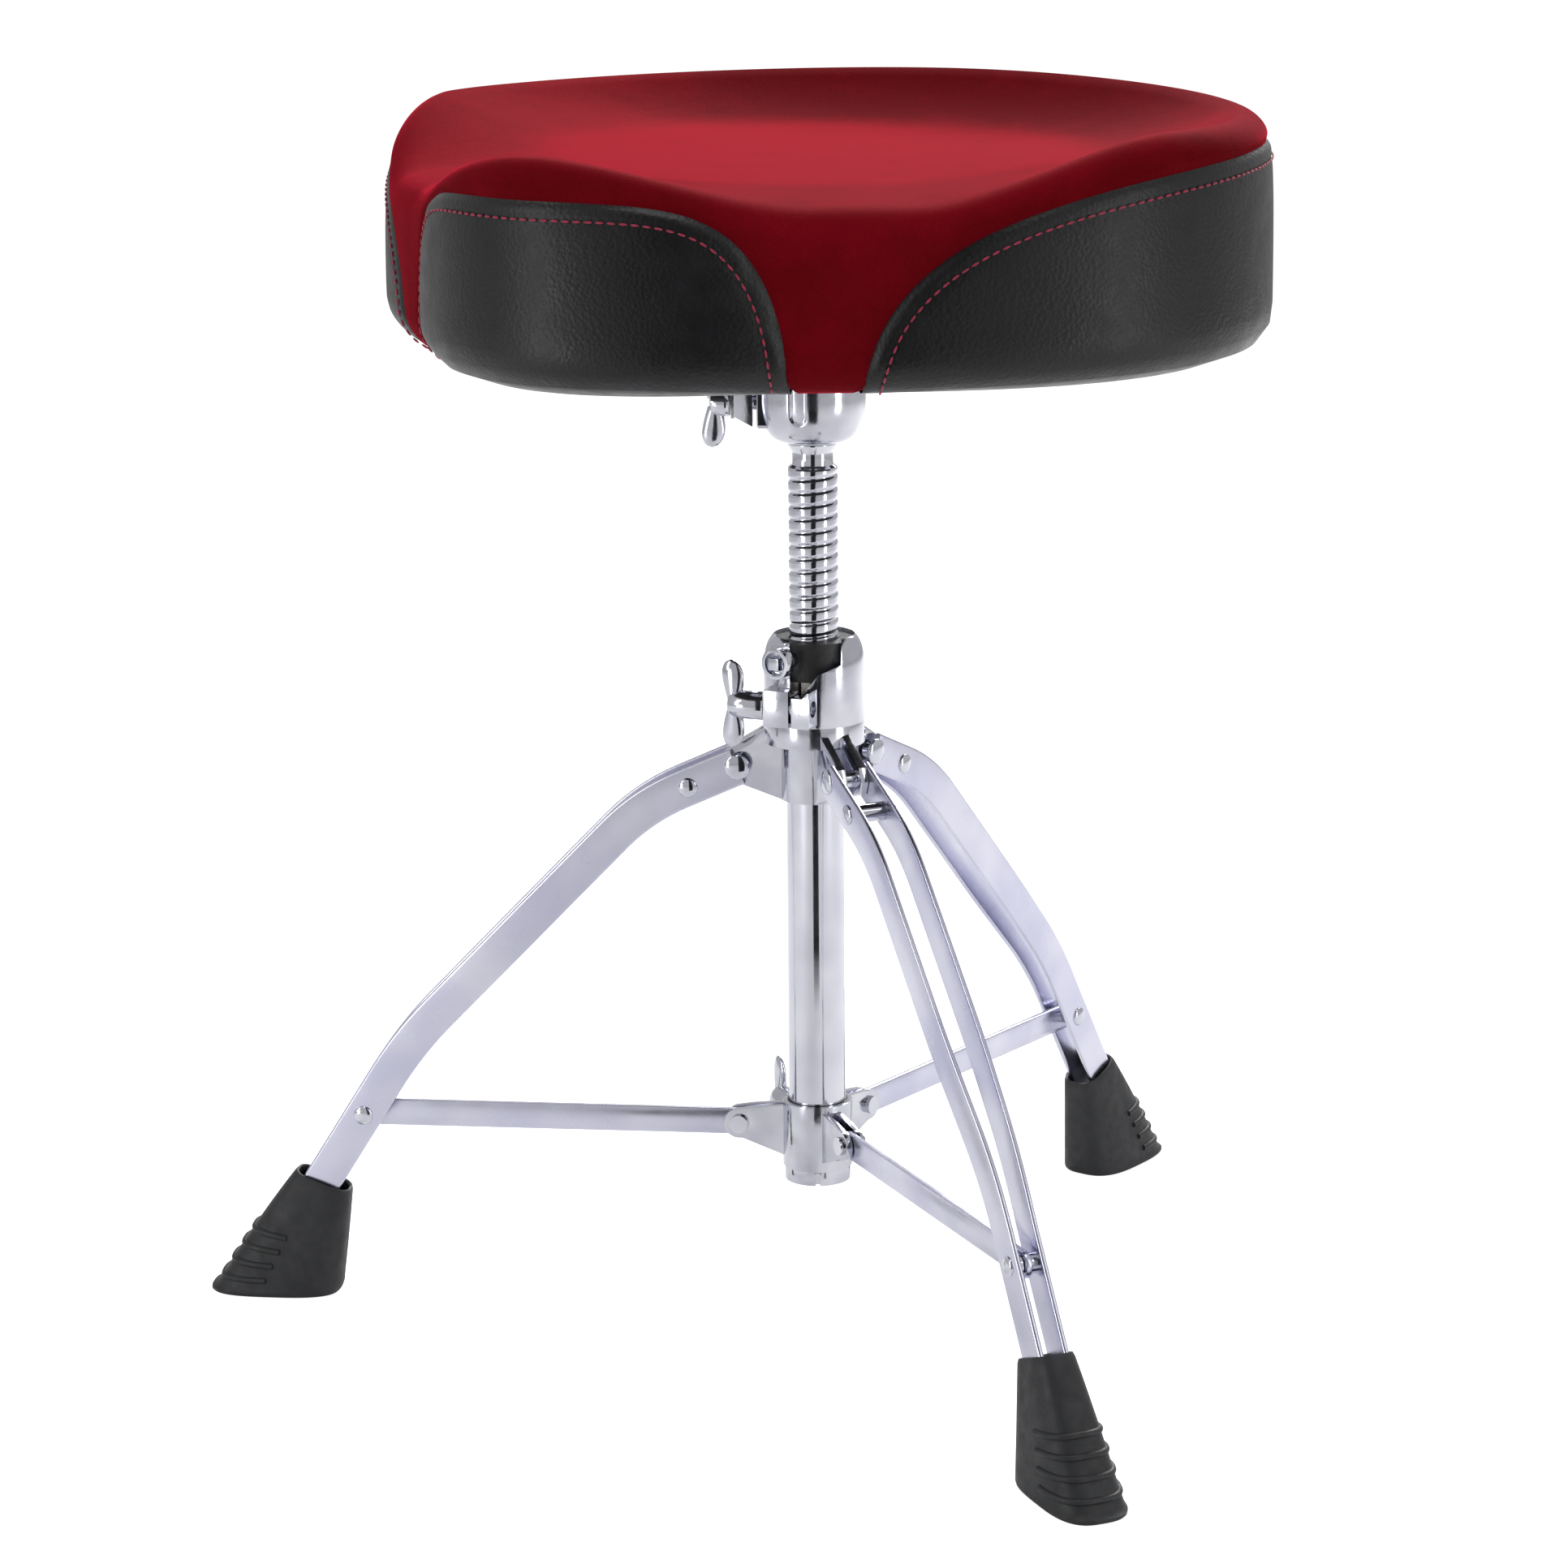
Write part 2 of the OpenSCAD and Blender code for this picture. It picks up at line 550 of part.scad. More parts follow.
module hub_wing_washer() color("dimgray") toward(hub_clamp_dir)
    translate([jaw_x + jaw_t, 0, hub_clamp_z]) rotate([0, 90, 0]) difference() {
        cylinder(r = 8, h = 1.6, $fn = 48);
        translate([0, 0, -1]) cylinder(r = bolt_r + run_gap, h = 4, $fn = 48);
    }

module hub_wing_bolt() color("silver") toward(hub_clamp_dir)
    translate([jaw_x + jaw_t + 1.6 + side_gap, 0, hub_clamp_z])
        wing_bolt(jaw_x + jaw_t + 1.5 - neck_r - 0.1, 4);

module hub_screws() color("dimgray")
    for (i = [0 : 3]) rotate([0, 0, 45 + 90 * i]) translate([hub_screw_pcd / 2, 0, 0]) {
        translate([0, 0, seat_z0 - flange_t - 3]) difference() {
            cylinder(r = 5.5, h = 3, $fn = 48);
            translate([0, 0, -1]) cylinder(r = 2, h = 2.5, $fn = 6);
        }
        translate([0, 0, seat_z0 - flange_t]) cylinder(r = hub_screw_r, h = flange_t + board_t - 2, $fn = 32);
    }

module tee_nuts() color("silver")
    for (i = [0 : 3]) rotate([0, 0, 45 + 90 * i]) translate([hub_screw_pcd / 2, 0, 0]) difference() {
        union() {
            translate([0, 0, board_z1 - 9]) cylinder(r = 4.5, h = 8, $fn = 32);
            translate([0, 0, board_z1 - 1.4]) cylinder(r = 9, h = 1.4, $fn = 48);
        }
        translate([0, 0, board_z1 - 10]) cylinder(r = hub_screw_r, h = 20, $fn = 32);
    }

// ---------------------------------------------------------------- seat pad

// Height of the rim over the underside, by angle from the nose
function rim_h(a) =
    let (p = abs(((a + 90 + 540) % 360) - 180))
    p < recess_dir ? mix(nose_h, recess_h, ease(p / recess_dir))
    : mix(recess_h, rear_h - 6, ease((p - rise_from) / (rise_to - rise_from)))
        + 6 * ease((p - hip_dir) / (180 - hip_dir));

// Height of the seam above the underside, or 0 where the top cover reaches down to the underside
function seam_h(a) =
    let (p = abs(((a + 90 + 540) % 360) - 180),
         u = p / nose_panel_half,
         v = (180 - p) / (180 - rear_panel_start))
    u < 1 ? nose_panel_h * sqrt(1 - pow(u, 4.5)) : v < 1 ? rear_panel_h * sqrt(1 - pow(v, 6)) : 0;

// Point of the pad's side at height h over the underside, d mm inside its skin
function side_point(a, h, d) =
    let (top = rim_h(a) - rim_round,
         nz = h < base_round ? (h - base_round) / base_round : h > top ? (h - top) / rim_round : 0,
         nr = sqrt(max(0, 1 - nz * nz)),
         inset = (1 - nr) * (h < base_round ? base_round : rim_round),
         r = pad_r(a) - inset - d * nr)
    [r * cos(a), r * sin(a), seat_z0 + h - d * nz];

// Point of the pad's top, u from 1 at the rim to 0 at the middle, d mm under its skin
function top_point(a, u, d) =
    let (r = (pad_r(a) - rim_round) * u, h = mix(dish_h, rim_h(a), pow(u, dish_power)))
    [r * cos(a), r * sin(a), seat_z0 + h - d];

side_rows = 9;
top_rows = 5;

// Heights of a column of points on the side, from low to high, closer together at both ends
function rise(low, high, i) = mix(low, high, (1 - cos(180 * i / side_rows)) / 2);

// Columns of the pad: across the nose panel, a recess, the rear panel and the other recess
panel_edge = 0.5;
nose_edge = nose_panel_half - panel_edge;
rear_edge = rear_panel_start + panel_edge;
end_step = 1.2;
function angles_between(from, to, n) = [for (j = [0 : n]) mix(from, to, j / n)];
// Columns of a panel, with one more close to each end, where the seam is steep
function panel_angles(from, to, n) = concat([from], angles_between(from + end_step, to - end_step, n), [to]);
// Columns of a recess, closer together at both ends, where the seam comes down to the underside
recess_steps = [nose_edge, mix(nose_edge, nose_panel_half, 0.5), mix(nose_edge, nose_panel_half, 0.8), nose_panel_half,
    mix(nose_panel_half, rear_panel_start, 0.35), mix(nose_panel_half, rear_panel_start, 0.65),
    rear_panel_start, mix(rear_edge, rear_panel_start, 0.8), mix(rear_edge, rear_panel_start, 0.5), rear_edge];
nose_angles = panel_angles(-90 - nose_edge, -90 + nose_edge, 15);
recess_angles = [for (p = recess_steps) -90 + p];
rear_angles = panel_angles(-90 + rear_edge, 270 - rear_edge, 43);
other_recess_angles = [for (p = reversed(recess_steps)) 270 - p];
function but_last(list) = [for (i = [0 : len(list) - 2]) list[i]];
function reversed(list) = [for (i = [len(list) - 1 : -1 : 0]) list[i]];
pad_angles = concat(but_last(nose_angles), but_last(recess_angles), but_last(rear_angles),
    but_last(other_recess_angles));

// A closed sheet of cover between an outer and an inner grid of rows by columns
module sheet(outer, inner) {
    n = len(outer);
    m = len(outer[0]);
    o = n * m;
    polyhedron(points = concat([for (r = outer, p = r) p], [for (r = inner, p = r) p]),
        faces = concat(
            [for (i = [0 : n - 2], j = [0 : m - 2]) each
                [[i * m + j, (i + 1) * m + j, (i + 1) * m + j + 1], [i * m + j, (i + 1) * m + j + 1, i * m + j + 1]]],
            [for (i = [0 : n - 2], j = [0 : m - 2]) each
                [[o + i * m + j, o + (i + 1) * m + j + 1, o + (i + 1) * m + j],
                 [o + i * m + j, o + i * m + j + 1, o + (i + 1) * m + j + 1]]],
            [for (j = [0 : m - 2]) each
                [[j, j + 1, o + j + 1], [j, o + j + 1, o + j],
                 [(n - 1) * m + j, o + (n - 1) * m + j, (n - 1) * m + j + 1],
                 [o + (n - 1) * m + j, o + (n - 1) * m + j + 1, (n - 1) * m + j + 1]]],
            [for (i = [0 : n - 2]) each
                [[i * m, o + i * m, o + (i + 1) * m], [i * m, o + (i + 1) * m, (i + 1) * m],
                 [i * m + m - 1, (i + 1) * m + m - 1, o + (i + 1) * m + m - 1],
                 [i * m + m - 1, o + (i + 1) * m + m - 1, o + i * m + m - 1]]]));
}

// A side panel over some columns, from the underside up to the seam
module side_panel(columns) {
    angles = reversed(columns);
    sheet([for (i = [0 : side_rows]) [for (a = angles) side_point(a, rise(0, seam_h(a), i), 0)]],
        [for (i = [0 : side_rows]) [for (a = angles) side_point(a, rise(0, seam_h(a), i), cover_t)]]);
}

module nose_panel() color([0.16, 0.16, 0.17]) side_panel(nose_angles);

module rear_panel() color([0.16, 0.16, 0.17]) side_panel(rear_angles);

// Top cover: over the rim and dish, down to the seams, and down the thigh recesses
module top_cover() color([0.72, 0.13, 0.2]) {
    angles = pad_angles;
    m = len(angles);
    n = side_rows + top_rows;
    outer = concat(
        [for (i = [0 : side_rows]) [for (a = angles) side_point(a, rise(seam_h(a), rim_h(a), i), 0)]],
        [for (k = [top_rows - 1 : -1 : 1]) [for (a = angles) top_point(a, k / top_rows, 0)]]);
    inner = concat(
        [for (i = [0 : side_rows]) [for (a = angles) side_point(a, rise(seam_h(a), rim_h(a), i), cover_t)]],
        [for (k = [top_rows - 1 : -1 : 1]) [for (a = angles) top_point(a, k / top_rows, cover_t)]]);
    o = n * m;
    polyhedron(
        points = concat([for (r = outer, p = r) p], [for (r = inner, p = r) p],
            [[0, 0, seat_z0 + dish_h], [0, 0, seat_z0 + dish_h - cover_t]]),
        faces = concat(
            [for (i = [0 : n - 2], j = [0 : m - 1]) each let (k = (j + 1) % m)
                [[i * m + j, (i + 1) * m + k, (i + 1) * m + j], [i * m + j, i * m + k, (i + 1) * m + k]]],
            [for (i = [0 : n - 2], j = [0 : m - 1]) each let (k = (j + 1) % m)
                [[o + i * m + j, o + (i + 1) * m + j, o + (i + 1) * m + k],
                 [o + i * m + j, o + (i + 1) * m + k, o + i * m + k]]],
            [for (j = [0 : m - 1]) each let (k = (j + 1) % m)
                [[j, o + k, k], [j, o + j, o + k],
                 [(n - 1) * m + j, (n - 1) * m + k, 2 * o],
                 [o + (n - 1) * m + j, 2 * o + 1, o + (n - 1) * m + k]]]));
}

// Foam pad: fills the covers, with a pocket below for the board
module foam_pad() color("khaki") {
    d = cover_t + soft_gap;
    angles = pad_angles;
    m = len(angles);
    pocket_h = board_z1 + pocket_gap - seat_z0;
    rings = concat(
        [[for (a = angles) 0.5 * [cos(a), sin(a), 0] + [0, 0, seat_z0 + pocket_h]]],
        [[for (a = angles) (pad_r(a) - board_inset + pocket_gap) * [cos(a), sin(a), 0] + [0, 0, seat_z0 + pocket_h]]],
        [[for (a = angles) (pad_r(a) - board_inset + pocket_gap) * [cos(a), sin(a), 0] + [0, 0, seat_z0 + d]]],
        [for (i = [0 : side_rows]) [for (a = angles) side_point(a, rise(0, rim_h(a), i), d)]],
        [for (k = [top_rows - 1 : -1 : 1]) [for (a = angles) top_point(a, k / top_rows, d)]],
        [[for (a = angles) 0.5 * [cos(a), sin(a), 0] + [0, 0, seat_z0 + dish_h - d]]]);
    polyhedron(points = [for (r = rings, p = r) p], faces = skin_faces(len(rings), m));
}

module pad_outline(inset) polygon([for (a = pad_angles) (pad_r(a) - inset) * [cos(a), sin(a)]]);

module seat_board() color("burlywood") difference() {
    translate([0, 0, board_z0]) linear_extrude(board_t) pad_outline(board_inset);
    for (i = [0 : 3]) rotate([0, 0, 45 + 90 * i]) translate([hub_screw_pcd / 2, 0, board_z0 - 1]) {
        cylinder(r = hub_screw_r + 0.3, h = board_t, $fn = 32);
        translate([0, 0, board_t - 8]) cylinder(r = 4.5, h = 12, $fn = 32);
        translate([0, 0, board_t - 0.4]) cylinder(r = 9, h = 4, $fn = 48);
    }
}

// Thin black cloth over the underside of the board
module dust_cover() color([0.1, 0.1, 0.1]) difference() {
    translate([0, 0, seat_z0]) linear_extrude(dust_t) pad_outline(board_inset);
    for (i = [0 : 3]) rotate([0, 0, 45 + 90 * i]) translate([hub_screw_pcd / 2, 0, seat_z0 - 1])
        cylinder(r = hub_screw_r + 0.3, h = 4, $fn = 32);
}

// ---------------------------------------------------------------- nodes

placed() base_tube();
placed() tube_end_cap();
placed() leg_collar();
placed() collar_grub_screws();
placed() nut_housing();
placed() thread_nut();
placed() guide_bush();
placed() key_bolt();
placed() height_wing_bolt();
placed() stay_collar();
placed() collar_liner();
placed() stay_pivot_pins();
placed() collar_wing_bolt();
placed() toward(rear_dir) leg_strip(1);  // rear_leg_strip_a
placed() toward(rear_dir) leg_strip(-1);  // rear_leg_strip_b
placed() toward(rear_dir) leg_pin();  // rear_leg_pin
placed() toward(rear_dir) leg_spacer();  // rear_leg_spacer
placed() toward(rear_dir) stay_rivets();  // rear_stay_rivets
placed() toward(rear_dir) foot();  // rear_foot
placed() toward(rear_dir) stay();  // rear_stay
placed() toward(left_dir) leg_strip(1);  // left_leg_strip_a
placed() toward(left_dir) leg_strip(-1);  // left_leg_strip_b
placed() toward(left_dir) leg_pin();  // left_leg_pin
placed() toward(left_dir) leg_spacer();  // left_leg_spacer
placed() toward(left_dir) stay_rivets();  // left_stay_rivets
placed() toward(left_dir) foot();  // left_foot
placed() toward(left_dir) stay();  // left_stay
placed() toward(right_dir) leg_strip(1);  // right_leg_strip_a
placed() toward(right_dir) leg_strip(-1);  // right_leg_strip_b
placed() toward(right_dir) leg_pin();  // right_leg_pin
placed() toward(right_dir) leg_spacer();  // right_leg_spacer
placed() toward(right_dir) stay_rivets();  // right_stay_rivets
placed() toward(right_dir) foot();  // right_foot
placed() toward(right_dir) stay();  // right_stay
placed() rod_guide();
placed() threaded_rod();
placed() rod_end_washer();
placed() rod_end_screw();
placed() seat_hub();
placed() clamp_jaw();
placed() hub_wing_bolt();
placed() hub_wing_washer();
placed() hub_screws();
placed() tee_nuts();
placed() seat_board();
placed() dust_cover();
placed() foam_pad();
placed() top_cover();
placed() nose_panel();
placed() rear_panel();
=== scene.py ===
# Drum throne: a saddle seat on a threaded rod, over a tube with a folding double-braced tripod.
# The nose of the seat points to -Y, +Z is up, lengths are worked out in millimetres and built in metres.
import math

import bmesh
import bpy
import numpy as np
from mathutils import Matrix, Vector


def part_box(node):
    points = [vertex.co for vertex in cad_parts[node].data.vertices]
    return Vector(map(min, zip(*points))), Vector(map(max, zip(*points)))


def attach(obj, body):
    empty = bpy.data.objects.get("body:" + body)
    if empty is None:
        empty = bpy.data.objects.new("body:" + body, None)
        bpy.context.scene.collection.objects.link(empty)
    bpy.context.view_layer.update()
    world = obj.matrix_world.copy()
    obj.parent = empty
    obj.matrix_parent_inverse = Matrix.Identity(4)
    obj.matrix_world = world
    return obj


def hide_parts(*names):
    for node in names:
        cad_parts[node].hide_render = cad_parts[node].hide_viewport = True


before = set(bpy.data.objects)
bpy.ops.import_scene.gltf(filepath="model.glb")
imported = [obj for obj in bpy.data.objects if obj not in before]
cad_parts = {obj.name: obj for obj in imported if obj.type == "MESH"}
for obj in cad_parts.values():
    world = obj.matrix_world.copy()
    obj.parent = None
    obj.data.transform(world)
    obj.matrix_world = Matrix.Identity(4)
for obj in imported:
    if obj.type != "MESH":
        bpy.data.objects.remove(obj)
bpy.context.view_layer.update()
MM = 0.001

# ------------------------------------------------------------------ places taken from the frame


def low(node):
    """Lowest corner of a CAD node, in millimetres."""
    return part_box(node)[0] / MM


def high(node):
    """Highest corner of a CAD node, in millimetres."""
    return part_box(node)[1] / MM


COLUMN_Y = (low("base_tube").y + high("base_tube").y) / 2
SEAT_Z = low("dust_cover").z
HUB_Z = low("seat_hub").z
HOUSING_Z0 = low("nut_housing").z
ROD_Z0 = low("threaded_rod").z
HUB_H = SEAT_Z - HUB_Z

# Leg directions, as angles from +X
LEGS = {"rear": 90, "left": -30, "right": 210}

# Driving sizes of the tripod, as in the part's source
TUBE_R = 14.3
ROD_R = 12.2
CASTING_R = 25
LEG_LEN = 356
LEANS = (24, 46, 58)
STRIP_W = 19
STRIP_T = 2.8
STAY_W = 13.5
STAY_T = 3
FOOT_LEN = 68
FOOT_W = 38
FOOT_H = 60
THREAD_PITCH = 6.5
THREAD_DEPTH = 0.85
WING_R = 22

# Driving sizes of the pad, as in the part's source
NOSE_REACH = 225
RECESS_REACH = 196
HIP_REACH = 226
REAR_REACH = 178
NOSE_H = 105
RECESS_H = 82
REAR_H = 116
DISH_H = 86
DISH_POWER = 4.5
NOSE_PANEL_H = 88
REAR_PANEL_H = 100
BASE_ROUND = 21
RIM_ROUND = 15
RECESS_DIR = 37
HIP_DIR = 95
RISE_FROM = 50
RISE_TO = 86
NOSE_PANEL_HALF = 33
REAR_PANEL_START = 43

# ------------------------------------------------------------------ small helpers


def mix(a, b, u):
    return a + (b - a) * u


def ramp(x):
    return np.clip(x, 0, 1)


def ease(x):
    u = ramp(x)
    return u * u * (3 - 2 * u)


def linear(hex_colour):
    """sRGB hex to linear RGBA."""
    parts = [int(hex_colour[i:i + 2], 16) / 255 for i in (1, 3, 5)]
    return tuple(c / 12.92 if c <= 0.04045 else ((c + 0.055) / 1.055) ** 2.4 for c in parts) + (1,)


def per(size_mm):
    """Texture scale that makes one feature about size_mm long in Object coordinates."""
    return 1 / (size_mm * MM)


def link(name, mesh):
    obj = bpy.data.objects.new(name, mesh)
    bpy.context.scene.collection.objects.link(obj)
    return obj


def outward(mesh):
    """Merges doubles and turns every face of a closed shell outwards."""
    bm = bmesh.new()
    bm.from_mesh(mesh)
    bmesh.ops.remove_doubles(bm, verts=bm.verts, dist=0.005 * MM)
    bmesh.ops.dissolve_degenerate(bm, edges=bm.edges, dist=0.005 * MM)
    bmesh.ops.recalc_face_normals(bm, faces=bm.faces)
    bm.to_mesh(mesh)
    bm.free()


def shaded(mesh, sharp_deg):
    """Smooth shading with edges sharper than sharp_deg kept crisp."""
    mesh.polygons.foreach_set("use_smooth", [True] * len(mesh.polygons))
    mesh.set_sharp_from_angle(angle=math.radians(sharp_deg))


def piece(name, points, faces, material, sharp_deg=40, closed=True):
    """A new object from points in millimetres."""
    mesh = bpy.data.meshes.new(name)
    mesh.from_pydata([tuple(MM * c for c in p) for p in points], [], [tuple(f) for f in faces])
    if closed:
        outward(mesh)
    mesh.materials.append(material)
    shaded(mesh, sharp_deg)
    return link(name, mesh)


def skin(rings, closed_ends=True):
    """Points and faces of a tube through rings that hold the same number of points."""
    m = len(rings[0])
    points = [p for ring in rings for p in ring]
    faces = [(i * m + j, i * m + (j + 1) % m, (i + 1) * m + (j + 1) % m, (i + 1) * m + j)
             for i in range(len(rings) - 1) for j in range(m)]
    if closed_ends:
        faces.append(tuple(reversed(range(m))))
        faces.append(tuple(range((len(rings) - 1) * m, len(rings) * m)))
    return points, faces


def lathe(profile, sides=64):
    """Points and faces of a profile [radius, height] turned about Z, closed on the axis or round a bore."""
    rings = [[(r * math.cos(t), r * math.sin(t), z)
              for t in np.linspace(0, 2 * math.pi, sides, endpoint=False)] for r, z in profile]
    return skin(rings, closed_ends=profile[0] != profile[-1])


def rounded(corners, radius, steps=4):
    """A polygon with its corners rounded, each by at most a third of its shorter side."""
    made = []
    n = len(corners)
    for i in range(n):
        a, b, c = (np.array(corners[(i + k) % n], float) for k in (-1, 0, 1))
        back = a - b
        ahead = c - b
        cut = min(radius, np.linalg.norm(back) / 3, np.linalg.norm(ahead) / 3)
        start = b + back / np.linalg.norm(back) * cut
        end = b + ahead / np.linalg.norm(ahead) * cut
        for k in range(steps + 1):
            u = k / steps
            made.append(tuple((1 - u) ** 2 * start + 2 * u * (1 - u) * b + u * u * end))
    return made


def moved(points, matrix):
    return [tuple(matrix @ Vector(p)) for p in points]


def about_column(direction=0):
    """From a leg's or clamp's own plane, +X outward, to the row frame."""
    return Matrix.Translation((0, COLUMN_Y, 0)) @ Matrix.Rotation(math.radians(direction), 4, "Z")


def across(p, y=0):
    """From Z to an axis across a leg, at the point p = [outward, up]."""
    return Matrix.Translation((p[0], y, p[1])) @ Matrix.Rotation(math.radians(-90), 4, "X")


def joined(name, parts, material, sharp_deg=40):
    """One object from several lists of points and faces."""
    points, faces = [], []
    for more_points, more_faces in parts:
        start = len(points)
        points += list(more_points)
        faces += [tuple(start + k for k in f) for f in more_faces]
    return piece(name, points, faces, material, sharp_deg)


def set_on(obj, body, slot, *nodes):
    """Puts a finished piece on its body and hides the CAD nodes that it stands for; slot is not used."""
    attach(obj, body)
    if nodes:
        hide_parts(*nodes)
    return obj


# ------------------------------------------------------------------ materials


def add(tree, kind, inputs=(), links=(), **settings):
    """Adds a node, sets its properties and input values, and links [input, source socket] pairs."""
    node = tree.nodes.new(kind)
    for key, value in settings.items():
        setattr(node, key, value)
    for key, value in dict(inputs).items():
        node.inputs[key].default_value = value
    for key, socket in links:
        tree.links.new(socket, node.inputs[key])
    return node


def math_node(tree, operation, first, second=None, third=None):
    """One arithmetic step on sockets or numbers."""
    node = add(tree, "ShaderNodeMath", operation=operation)
    for k, value in enumerate((first, second, third)):
        if value is None:
            continue
        if isinstance(value, (int, float)):
            node.inputs[k].default_value = value
        else:
            tree.links.new(value, node.inputs[k])
    return node.outputs[0]


def finish_material(name, base, shader_inputs, colour=None, roughness=None, bump=None):
    """A Principled material. colour, roughness and bump are functions that build their nodes on the tree."""
    material = bpy.data.materials.new(name)
    material.use_nodes = True
    tree = material.node_tree
    shader = tree.nodes["Principled BSDF"]
    shader.inputs["Base Color"].default_value = linear(base)
    for key, value in shader_inputs.items():
        shader.inputs[key].default_value = value
    place = add(tree, "ShaderNodeTexCoord").outputs["Object"]
    if colour:
        tree.links.new(colour(tree, place), shader.inputs["Base Color"])
    if roughness:
        tree.links.new(roughness(tree, place), shader.inputs["Roughness"])
    if bump:
        tree.links.new(bump(tree, place), shader.inputs["Normal"])
    return material


def noise(tree, place, size_mm, detail=2, rough=0.5):
    """Soft random field with features of about size_mm."""
    return add(tree, "ShaderNodeTexNoise", {"Scale": per(size_mm), "Detail": detail, "Roughness": rough},
               [("Vector", place)]).outputs["Fac"]


def between(tree, factor, first, second, low_at=0.35, high_at=0.65):
    """Colour that goes from first to second as the field rises."""
    node = add(tree, "ShaderNodeValToRGB", links=[("Fac", factor)])
    node.color_ramp.elements[0].position = low_at
    node.color_ramp.elements[0].color = linear(first)
    node.color_ramp.elements[1].position = high_at
    node.color_ramp.elements[1].color = linear(second)
    return node.outputs["Color"]


def spread(tree, field, low_value, high_value):
    """A field stretched to a range of values."""
    return add(tree, "ShaderNodeMapRange", {"From Min": 0.3, "From Max": 0.7, "To Min": low_value,
               "To Max": high_value}, [("Value", field)]).outputs["Result"]


def dented(tree, height, depth_mm, strength=1.0):
    """Bump from a height field that is depth_mm deep."""
    return add(tree, "ShaderNodeBump", {"Distance": depth_mm * MM, "Strength": strength},
               [("Height", height)]).outputs["Normal"]


def chrome_tube():
    # Bright nickel-chrome plate on drawn steel: a clean mirror with a faint polishing haze
    return finish_material(
        "chrome_plated_steel", "#CDCED8", {"Metallic": 1.0},
        colour=lambda t, p: between(t, noise(t, p, 35), "#C6C7D2", "#D6D7DF"),
        roughness=lambda t, p: spread(t, noise(t, p, 18, 3), 0.07, 0.13),
        bump=lambda t, p: dented(t, noise(t, p, 9), 0.012))


def chrome_strip():
    # Chrome plate on pressed flat strip: tumbled before plating, so it mirrors softly and looks pale
    return finish_material(
        "chrome_plated_strip", "#CFCFE0", {"Metallic": 1.0},
        colour=lambda t, p: between(t, noise(t, p, 50), "#C6C6DA", "#D6D6E4"),
        roughness=lambda t, p: spread(t, noise(t, p, 22, 3), 0.2, 0.3),
        bump=lambda t, p: dented(t, noise(t, p, 14), 0.03))


def chrome_casting():
    # Chrome plate on die-cast zinc: a mirror with the slight orange peel of the casting beneath
    return finish_material(
        "chrome_plated_zinc_casting", "#C8C9D2", {"Metallic": 1.0},
        colour=lambda t, p: between(t, noise(t, p, 20), "#BCBDC8", "#CFD0D8"),
        roughness=lambda t, p: spread(t, noise(t, p, 8, 3), 0.09, 0.18),
        bump=lambda t, p: dented(t, noise(t, p, 3.5, 3), 0.035))


def zinc_steel():
    # Zinc-plated steel screws and washers: dull grey metal with blotchy passivation
    return finish_material(
        "zinc_plated_steel", "#9A9A9C", {"Metallic": 1.0},
        colour=lambda t, p: between(t, noise(t, p, 4, 4), "#86878C", "#A8A8A6"),
        roughness=lambda t, p: spread(t, noise(t, p, 2, 3), 0.3, 0.45),
        bump=lambda t, p: dented(t, noise(t, p, 1), 0.02))


def plated_brass():
    # Turned brass under nickel plate: a faintly warm grey metal with fine tool marks
    return finish_material(
        "nickel_plated_brass", "#B4B1AA", {"Metallic": 1.0},
        colour=lambda t, p: between(t, noise(t, p, 6, 3), "#A8A49B", "#BFBDB8"),
        roughness=lambda t, p: spread(t, noise(t, p, 3, 3), 0.22, 0.35),
        bump=lambda t, p: dented(t, noise(t, p, 1.2), 0.02))


def nylon():
    # Black moulded nylon: near-black with a fine spark-eroded texture that scatters highlights
    return finish_material(
        "moulded_black_nylon", "#141416", {"IOR": 1.53},
        colour=lambda t, p: between(t, noise(t, p, 5, 3), "#101012", "#1B1B1E"),
        roughness=lambda t, p: spread(t, noise(t, p, 3, 2), 0.38, 0.5),
        bump=lambda t, p: dented(t, noise(t, p, 0.6, 3), 0.04))


def rubber():
    # Moulded rubber: charcoal, matt, with mould texture and slightly greyed high spots
    return finish_material(
        "moulded_black_rubber", "#18191C", {"IOR": 1.52},
        colour=lambda t, p: between(t, noise(t, p, 11, 4, 0.6), "#131417", "#202125"),
        roughness=lambda t, p: spread(t, noise(t, p, 6, 3), 0.5, 0.66),
        bump=lambda t, p: dented(t, noise(t, p, 0.9, 3, 0.6), 0.12, 0.7))


def plywood():
    # Birch plywood: pale veneers in layers, with long grain and darker glue lines at the edge
    def colour(tree, place):
        bent = add(tree, "ShaderNodeMapping", {"Scale": (per(4), per(90), per(2.4))}, [("Vector", place)])
        grain = add(tree, "ShaderNodeTexNoise", {"Scale": 1.0, "Detail": 4}, [("Vector", bent.outputs[0])])
        return between(tree, grain.outputs["Fac"], "#B98F5B", "#DDBB8A")
    return finish_material(
        "birch_plywood", "#CDA775", {"IOR": 1.5, "Roughness": 0.7}, colour=colour,
        roughness=lambda t, p: spread(t, noise(t, p, 5, 3), 0.62, 0.8),
        bump=lambda t, p: dented(t, noise(t, p, 0.8, 3), 0.08))


def dust_cloth():
    # Spun-bonded black cloth under the board: matt, with a fine random web of fibres
    return finish_material(
        "spunbond_dust_cloth", "#131314", {"IOR": 1.5, "Roughness": 0.95, "Sheen Weight": 0.15},
        colour=lambda t, p: between(t, noise(t, p, 1.6, 5, 0.8), "#0D0D0E", "#1D1D1F"),
        bump=lambda t, p: dented(t, noise(t, p, 1.2, 5, 0.8), 0.15))


